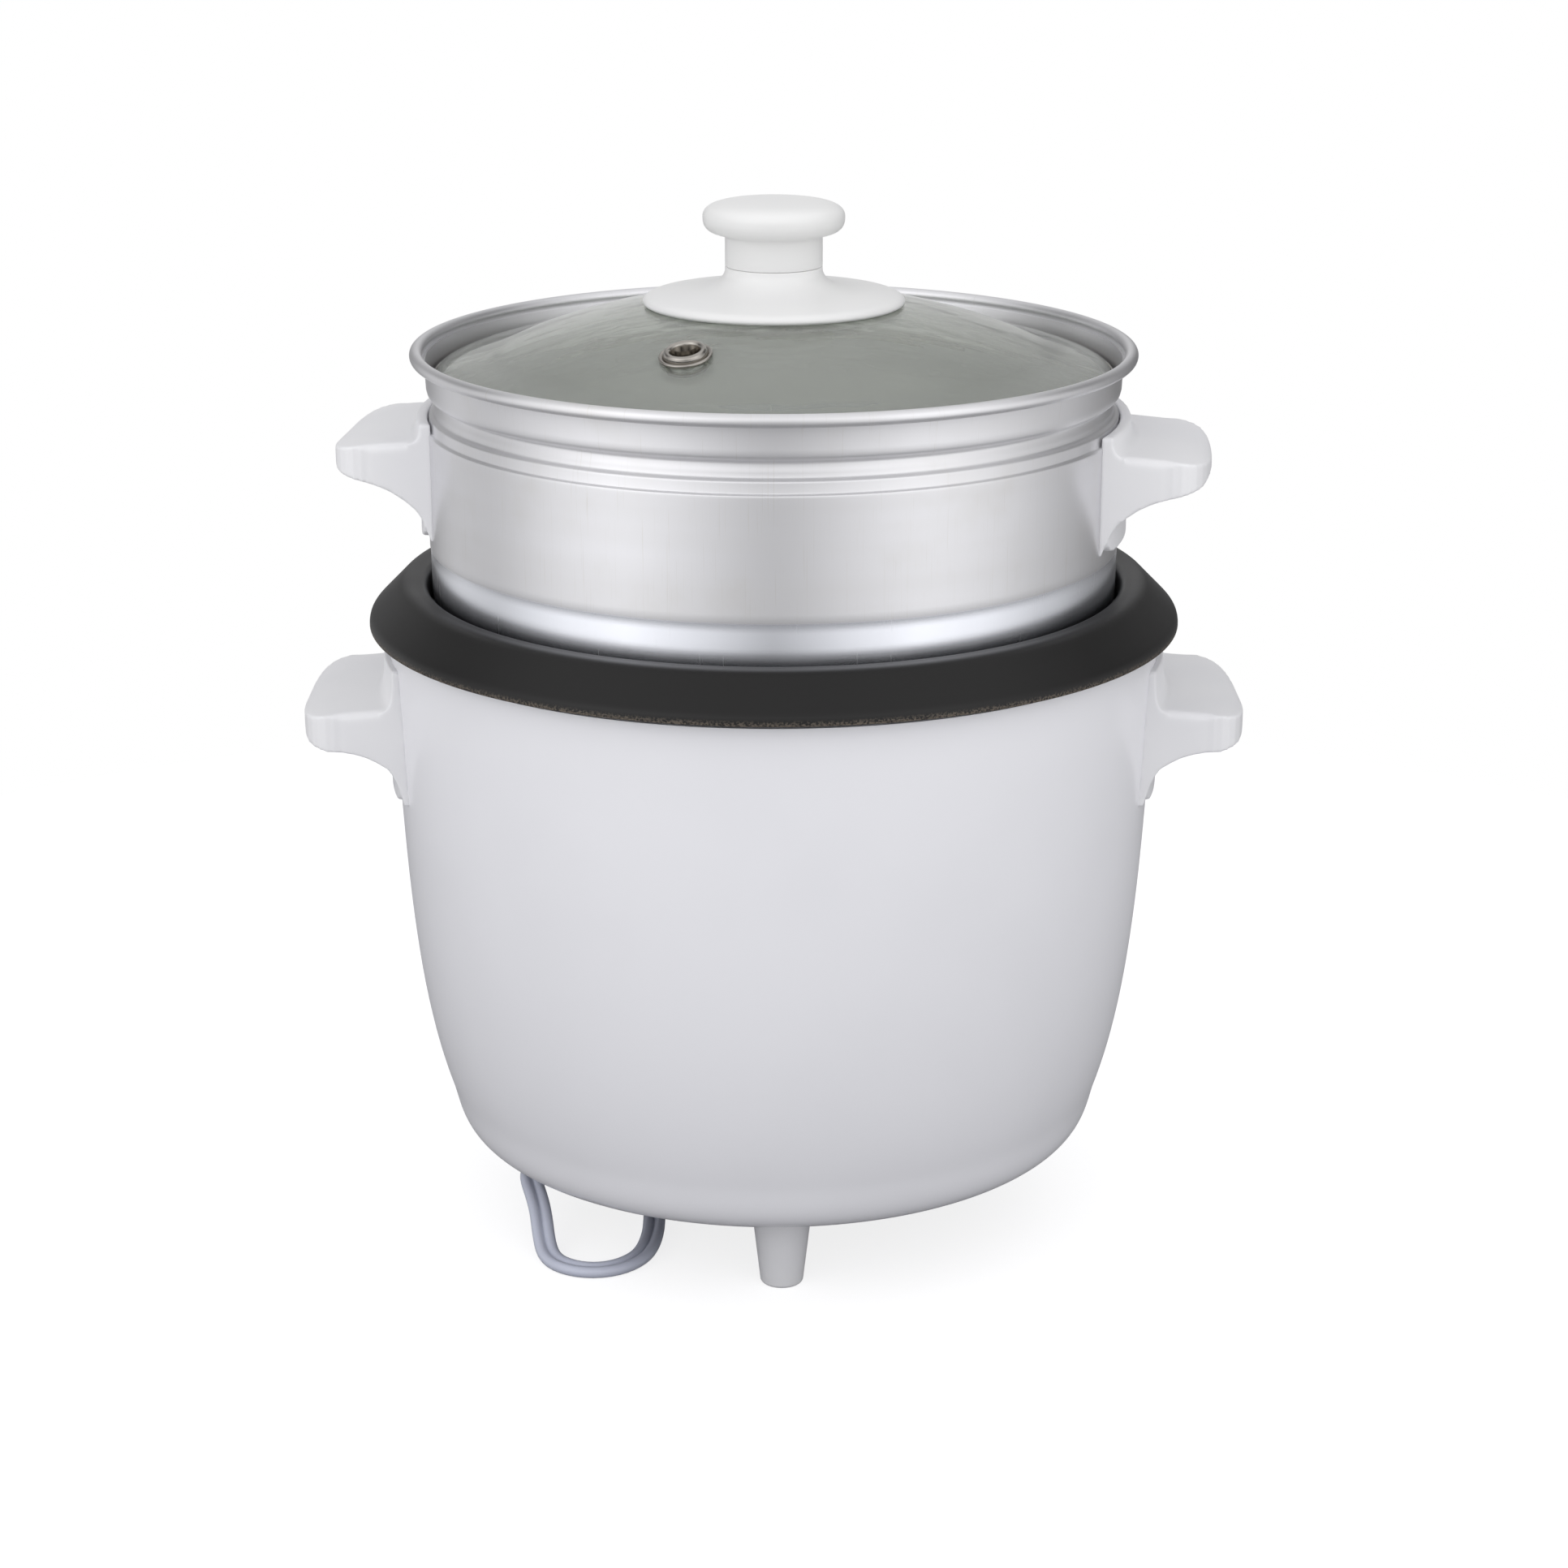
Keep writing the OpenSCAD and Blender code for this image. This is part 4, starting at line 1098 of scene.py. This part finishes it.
@dataclass
class Drum:
    """The painted drum, its handles and its feet."""

    top_r: float = 110.1
    top_z: float = 177.0
    edge_r: float = 1.2
    floor_z: float = 24.0
    flange_r: float = 60.0
    flat_r: float = 72.0
    lip_r: float = 102.0
    sheet: float = 0.8
    knuckle: Point = (95.9, 42.4)
    slot_w: float = 16.0
    slot_z: Point = (28.5, 52.0)
    lens_at: Point = (26.0, 47.0)
    lens_hole: float = 3.3
    cut_from: float = 70.0
    cut_to: float = 130.0
    grip_r: float = 134.2
    foot_ring: float = 65.0
    foot_top: float = 8.6
    foot_tip: float = 6.1
    foot_edge: float = 1.2
    foot_z: float = 22.8
    screw_r: float = 2.1
    screw_head_r: float = 3.9
    screw_head_z: float = 8.0
    feet: tuple[tuple[str, float], ...] = (("front", -88), ("rear_right", 32), ("rear_left", 152))

    def wall(self) -> Outline:
        """Draws the outside of the drum from its underside to its top edge.

        Returns:
            Distances from the axis and heights, in millimetres.
        """
        kx, kz = self.knuckle
        bottom = curve((self.flat_r, self.floor_z), (kx - 1.2, self.floor_z), (kx - 3, kz - 9), (kx, kz), 28)
        side = curve((kx, kz), (kx + 11.2, kz + 33.5), (self.top_r - 2.8, 125), (self.top_r, self.top_z), 40)
        return bottom + side[1:]

    def build(self, dresser: Dresser) -> None:
        """Makes the drum, its handles and its feet.

        Args:
            dresser: Finishes the pieces.
        """
        edge = arc((self.top_r - self.edge_r, self.top_z - 0.2), self.edge_r, 0, 90, 5)
        outside = [(self.flange_r, self.floor_z), *self.wall(), *edge[1:], (self.lip_r, self.top_z)]
        outside = [(r, min(z, self.top_z)) for r, z in outside]
        drum = lathe("drum", outside + beside(outside, self.sheet)[::-1])
        drills = [self._slot_drill(), self._lens_drill(-1), self._lens_drill(1)]
        dresser.dress(drilled(drum, drills), Slot.SHELL_PAINT, "base", "outer_shell")
        dresser.handles("base", "body", self.grip_r)
        for place, turn in self.feet:
            foot = self._foot(f"turned_foot_{place}", turn)
            dresser.dress(foot, Slot.WHITE_PLASTIC, "base", f"foot_{place}")

    def _slot_drill(self) -> Piece:
        """Makes the block that cuts the lever's slot.

        Returns:
            The drill.
        """
        low, high = self.slot_z
        half = self.slot_w / 2
        depths = (self.cut_from, self.cut_to)
        points = [(x * MM, y * MM, z * MM) for x in (-half, half) for y in depths for z in (low, high)]
        faces = [(0, 1, 3, 2), (4, 6, 7, 5), (0, 4, 5, 1), (2, 3, 7, 6), (0, 2, 6, 4), (1, 5, 7, 3)]
        return mesh_piece("drill", points, faces)

    def _lens_drill(self, side: int) -> Piece:
        """Makes the round drill for one of the two lenses beside the slot.

        Args:
            side: -1 for the lens at -X and 1 for the lens at +X.

        Returns:
            The drill.
        """
        across, up = self.lens_at
        place = moved(side * across, self.cut_from, up) @ Matrix.Rotation(-math.pi / 2, 4, "X")
        r, depth = self.lens_hole, self.cut_to - self.cut_from
        return lathe("drill", [(0, 0), (r, 0), (r, depth), (0, depth)], place, SMALL_ROUND)

    def _foot(self, name: str, turn: float) -> Piece:
        """Makes a tapering foot with a counterbored tip.

        Args:
            name: The piece's name.
            turn: Where it stands round the drum, in degrees.

        Returns:
            The foot.
        """
        outline = [
            (self.screw_r, self.foot_z), (self.screw_r, self.screw_head_z),
            (self.screw_head_r, self.screw_head_z), (self.screw_head_r, 0),
            *arc((self.foot_tip - self.foot_edge, self.foot_edge), self.foot_edge, -90, -4, 8),
            (self.foot_top, self.foot_z),
        ]
        place = moved(*polar(self.foot_ring, turn), 0)
        return lathe(name, eased(outline, 0.4), place, SMALL_ROUND)


# ---- pot ----


@dataclass
class Pot:
    """The non-stick pot with its broad sloping rim."""

    floor_z: float = 60.0
    sheet: float = 1.4
    corner_r: float = 20.0
    wall_r: float = 92.5
    neck_r: float = 94.0
    ledge_r: float = 97.0
    ledge_z: float = 184.1
    brow_r: float = 106.5
    rim_r: float = 115.2
    rim_z: float = 190.8
    lip: float = 11.9

    def inside(self) -> Outline:
        """Draws the inner face from the middle of the floor to the rim's lower edge.

        Returns:
            Distances from the axis and heights, in millimetres.
        """
        z, top = self.floor_z + self.sheet, self.rim_z
        neck, ledge, low = self.neck_r, self.ledge_r, self.ledge_z
        brow, rim = self.brow_r, self.rim_r
        return [
            (0, z),
            (30, z),
            *arc((self.wall_r - self.corner_r, z + self.corner_r), self.corner_r, -90, 0, 20),
            *curve((neck, low - 1.5), (neck + 0.3, low - 0.5), (neck + 0.6, low), (ledge, low), 8),
            *curve((ledge + 0.6, low + 1.1), (ledge + 1.2, top - 2.4), (ledge + 1.3, top), (100.4, top), 14),
            *curve((101.6, top), (103.8, top + 0.2), (brow - 1.5, top + 0.5), (brow, top - 0.8), 12),
            *curve((brow + 0.8, top - 1.6), (109.6, top - 4), (112, top - 6.3), (113.6, top - 8), 8),
            *curve((114, top - 8.4), (rim - 0.2, top - 9.5), (rim, top - 10.2), (rim, top - self.lip), 8),
        ]

    def build(self, dresser: Dresser) -> None:
        """Makes the pot, coated inside and on the rim and bare outside.

        Args:
            dresser: Finishes the pieces.
        """
        inside = self.inside()
        outside = beside(inside, -self.sheet)[::-1]
        outside[-1] = (0, self.floor_z)
        cut_edge = eased([*inside[-2:], *outside[:2]], 0.5, 20)[1:-1]
        pot = lathe("pot", inside[:-1] + cut_edge + outside[1:])
        dresser.dress(pot, Slot.NONSTICK, "pot", "inner_pot")
        pot.data.materials.append(dresser.material(Slot.SPUN_ALUMINIUM))
        for face in pot.data.polygons:
            face.material_index = int(self._is_bare(face))

    def _is_bare(self, face: bpy.types.MeshPolygon) -> bool:
        """Tells whether a face is on the outside of the pot, below its rim.

        Args:
            face: One of the pot's faces.

        Returns:
            Whether it has no coating.
        """
        reach = face.center.xy.length
        outwards = face.normal.xy.dot(face.center.xy) / max(reach, TINY) > 0.2
        below_rim = reach < (self.rim_r - 17) * MM and face.center.z < (self.rim_z - 2) * MM
        return below_rim and (outwards or face.normal.z < -0.5)


# ---- steamer ----


@dataclass
class Steamer:
    """The spun steamer pan with its perforated floor and its handles."""

    floor_z: float = 172.0
    sheet: float = 0.8
    corner_r: float = 6.0
    cup_r: float = 91.6
    ledge_z: float = 184.0
    wall_r: float = 97.5
    step_z: float = 235.0
    shelf_z: float = 238.4
    neck_r: float = 94.8
    neck_z: float = 243.2
    bead_r: float = 100.0
    bead_z: float = 255.4
    bead_wire: float = 1.8
    hole_r: float = 2.5
    hole_step: float = 14.0
    hole_rings: int = 5
    grip_r: float = 123.0
    grip_turn: float = -5.6

    def outside(self) -> Outline:
        """Draws the outer face from the middle of the floor to the rolled edge.

        Returns:
            Distances from the axis and heights, in millimetres.
        """
        r, z, step, lip, neck = self.wall_r, self.ledge_z, self.step_z, self.shelf_z, self.neck_z
        dip, top = self.neck_r, self.bead_z
        corner = (self.cup_r - self.corner_r, self.floor_z + self.corner_r)
        return [
            (0, self.floor_z),
            *arc(corner, self.corner_r, -90, 0, 10),
            (r - 4.9, z - 0.6),
            *curve((r - 4.8, z + 0.1), (r - 4.1, z + 0.3), (r - 1.7, z + 0.3), (r - 1.1, z + 1.1), 6),
            *curve((r - 0.7, z + 2), (r - 0.4, z + 4), (r - 0.3, z + 9), (r - 0.2, z + 17), 10),
            *curve((r, z + 17.6), (r, z + 28), (r, step - 11), (r + 0.2, step - 0.5), 14),
            *curve((r + 0.2, step), (r + 0.2, step + 0.6), (r - 0.6, step + 0.4), (r - 0.7, step + 1), 8),
            *curve((r - 0.7, lip), (r - 0.7, lip + 0.8), (r - 1.9, lip + 0.8), (r - 2.1, neck - 3.2), 8),
            *curve((r - 2.2, neck - 2.4), (r - 2.3, neck - 1.6), (r - 2.6, neck - 1.2), (dip, neck - 0.2), 6),
            *curve((dip, neck), (dip, neck + 1.2), (r - 0.5, neck + 0.9), (r - 0.3, neck + 2.4), 10),
            *curve((r - 0.1, neck + 3.2), (r, neck + 6.4), (r + 0.3, top - 3), (r + 0.9, top - 0.9), 10),
        ]

    def build(self, dresser: Dresser) -> None:
        """Makes the pan and its handles.

        Args:
            dresser: Finishes the pieces.
        """
        outside = self.outside()
        inside = beside(outside, self.sheet)
        bead = arc((self.bead_r, self.bead_z), self.bead_wire, 205, -100, 26)
        pan = lathe("steamer", outside[:-1] + bead + inside[::-1][1:])
        dresser.dress(drilled(pan, self._floor_drills()), Slot.SPUN_ALUMINIUM, "steamer", "steamer_pan")
        dresser.handles("steamer", "steamer", self.grip_r, self.grip_turn)

    def _floor_drills(self) -> list[Piece]:
        """Makes the drills for the steam holes, which stand in rings of six, twelve and so on.

        Returns:
            The drills.
        """
        spots = [(0.0, 0.0)]
        for ring in range(1, self.hole_rings + 1):
            spots += [polar(ring * self.hole_step, i * 60 / ring) for i in range(6 * ring)]
        outline = [(0, -2), (self.hole_r, -2), (self.hole_r, 3), (0, 3)]
        return [lathe("drill", outline, moved(x, y, self.floor_z), HOLE_ROUND) for x, y in spots]


# ---- lid ----


@dataclass
class Lid:
    """The glass dome, its band, its steam vent and its knob."""

    glass_r: float = 93.2
    dome_r: float = 206.0
    edge_z: float = 249.0
    under_z: float = 245.5
    glass: float = 4.0
    brim_r: float = 94.4
    brim_from: float = 76.0
    brim_rise: float = 2.2
    seat_r: float = 91.8
    band_r: float = 95.7
    gap: float = 0.05
    screw_r: float = 2.2
    vent_at: Point = (-23.3, -53.5)
    vent_r: float = 7.4
    vent_hole: float = 5.1
    vent_bore: float = 4.0
    skirt_r: float = 36.8
    skirt_z: float = 268.6
    neck_r: float = 13.6
    seam_z: float = 278.8
    screw_top: float = 287.0
    knob_r: float = 19.8
    knob_z: float = 296.9

    @property
    def dome_z(self) -> float:
        """Height of the middle of the dome's sphere."""
        return self.edge_z - math.sqrt(self.dome_r**2 - self.glass_r**2)

    def _brim(self, x: float) -> float:
        """Returns how far the rounded brim stands above the dome's sphere at a distance from the axis."""
        return self.brim_rise * smooth_step((x - self.brim_from) / (self.brim_r - self.brim_from))

    def _dome(self, radius: float, start: float, end: float, steps: int) -> Outline:
        """Returns points of the dome between two distances from the axis."""
        spots = [start + (end - start) * i / steps for i in range(steps + 1)]
        return [(x, self.dome_z + math.sqrt(radius * radius - x * x) + self._brim(x)) for x in spots]

    def _at_vent(self) -> Matrix:
        """Finds where the vent stands on the dome.

        Returns:
            The place, in metres, with Z along the glass's normal.
        """
        reach = math.hypot(*self.vent_at)
        return (
            moved(0, 0, self.dome_z)
            @ Matrix.Rotation(math.atan2(self.vent_at[1], self.vent_at[0]), 4, "Z")
            @ Matrix.Rotation(math.asin(reach / self.dome_r), 4, "Y")
            @ moved(0, 0, self.dome_r)
        )

    def build(self, dresser: Dresser) -> None:
        """Makes the glass, the band, the vent and the knob.

        Args:
            dresser: Finishes the pieces.
        """
        hole = self.screw_r + 0.3
        outer = self._dome(self.dome_r, hole, self.brim_r, 60)
        under = self._dome(self.dome_r - self.glass, self.seat_r, hole, 60)
        outline = eased([*outer, (self.brim_r, self.under_z), (self.seat_r, self.under_z), *under], 0.9, 50)
        low, high = -12, 8
        hole_outline = [(0, low), (self.vent_hole, low), (self.vent_hole, high), (0, high)]
        drill = lathe("drill", hole_outline, self._at_vent(), SMALL_ROUND)
        dresser.dress(drilled(lathe("dome", outline), [drill]), Slot.LID_GLASS, "lid", "lid_glass")
        self._band(dresser)
        self._vent(dresser)
        self._knob(dresser)

    def _band(self, dresser: Dresser) -> None:
        """Makes the steel band, bevelled below so that it clears the steamer's shoulder.

        Args:
            dresser: Finishes the pieces.
        """
        foot_z, glass_r = self.under_z - 1.1, self.brim_r + self.gap
        outline = [
            (self.seat_r, foot_z), (self.band_r - 1.4, foot_z), (self.band_r, foot_z + 1.5),
            (self.band_r, self.edge_z), (self.band_r - 0.4, self.edge_z + 0.8),
            (self.brim_r + 0.3, self.edge_z + 1), (glass_r, self.edge_z + 0.4),
            (glass_r, self.under_z - self.gap), (self.seat_r, self.under_z - self.gap),
        ]
        dresser.dress(lathe("band", eased(outline, 0.4)), Slot.POLISHED_STEEL, "lid", "lid_band")

    def _vent(self, dresser: Dresser) -> None:
        """Makes the rolled eyelet of the steam vent.

        Args:
            dresser: Finishes the pieces.
        """
        r, bore = self.vent_r, self.vent_bore
        under = [(bore, -5.4), (bore + 1.6, -5.4), (bore + 1.6, -4.6), (bore + 0.9, -4.3), (bore + 0.9, 0.2)]
        collar = curve((r - 0.3, 0.2), (r + 0.4, 1.1), (r - 0.5, 1.7), (r - 1.3, 0.9), 12)
        roll = curve((r - 1.4, 0.8), (r - 1.4, 3.0), (bore + 0.6, 3.2), (bore, 2.0), 14)
        eyelet = lathe("eyelet", [*under, *collar, *roll], self._at_vent(), SMALL_ROUND)
        dresser.dress(eyelet, Slot.POLISHED_STEEL, "lid", "vent_grommet")

    def _knob(self, dresser: Dresser) -> None:
        """Makes the skirt and the cap of the knob, both hollow round the screw.

        Args:
            dresser: Finishes the pieces.
        """
        r, low, neck, seam = self.skirt_r, self.skirt_z, self.neck_r, self.seam_z
        hole = self.screw_r + 0.1
        skirt = [
            *self._dome(self.dome_r + 0.1, hole, r - 1, 20),
            *curve((r - 0.4, low), (r + 0.3, low + 0.8), (r - 0.6, low + 2), (r - 3, low + 2.4), 10),
            *curve((r - 8, low + 3.1), (neck + 7.4, low + 3.7), (neck + 1, low + 4.6), (neck, low + 9), 18),
            (neck, seam), (hole, seam),
        ]
        foot = lathe("knob_foot", eased(skirt, 0.3, 50), segments=KNOB_ROUND)
        dresser.dress(foot, Slot.KNOB_PLASTIC, "lid", "knob_skirt")
        wide, top = self.knob_r, self.knob_z
        low, side = top - 8.8, top - 4.6
        cap = [
            (hole, seam + 0.1), (neck - 0.15, seam + 0.1), (neck, seam + 0.3),
            *curve((neck, low - 1.6), (neck, low - 0.4), (neck + 1.2, low - 0.3), (neck + 2.2, low - 0.1), 8),
            *curve((neck + 2.6, low), (wide - 0.6, low + 0.6), (wide, side - 1.8), (wide, side), 14),
            *curve((wide, side + 0.3), (wide, top - 1.4), (wide - 3.6, top - 0.2), (10, top), 16),
            (0, top), (0, self.screw_top), (hole, self.screw_top),
        ]
        crown = lathe("knob_cap", eased(cap, 0.25, 50), segments=KNOB_ROUND)
        dresser.dress(crown, Slot.KNOB_PLASTIC, "lid", "lid_knob")


# ---- controls ----


@dataclass
class Controls:
    """The moulded panel round the lever's slot and the lever's knob."""

    panel_grain: float = 0.5
    panel_passes: int = 4
    knob_grain: float = 0.35

    def build(self, dresser: Dresser) -> None:
        """Makes the panel and the lever's knob.

        Args:
            dresser: Finishes the pieces.
        """
        white, grain, passes = Slot.WHITE_PLASTIC, self.panel_grain, self.panel_passes
        dresser.mould("panel", white, "base", "control_panel", grain, passes)
        dresser.mould("lever_grip", white, "lever", "lever_knob", self.knob_grain)


def main() -> None:
    """Loads the frame, builds each sub-assembly and logs what it makes."""
    logging.basicConfig(level=logging.INFO, format="%(name)s: %(message)s")
    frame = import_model()
    dresser = Dresser(frame)
    Studio().build()
    for assembly in (Cord(), Drum(), Pot(), Steamer(), Lid(), Controls()):
        assembly.build(dresser)
        LOG.info("%s done", type(assembly).__name__)
    dresser.finish_nodes()


if __name__ == "__main__":
    main()
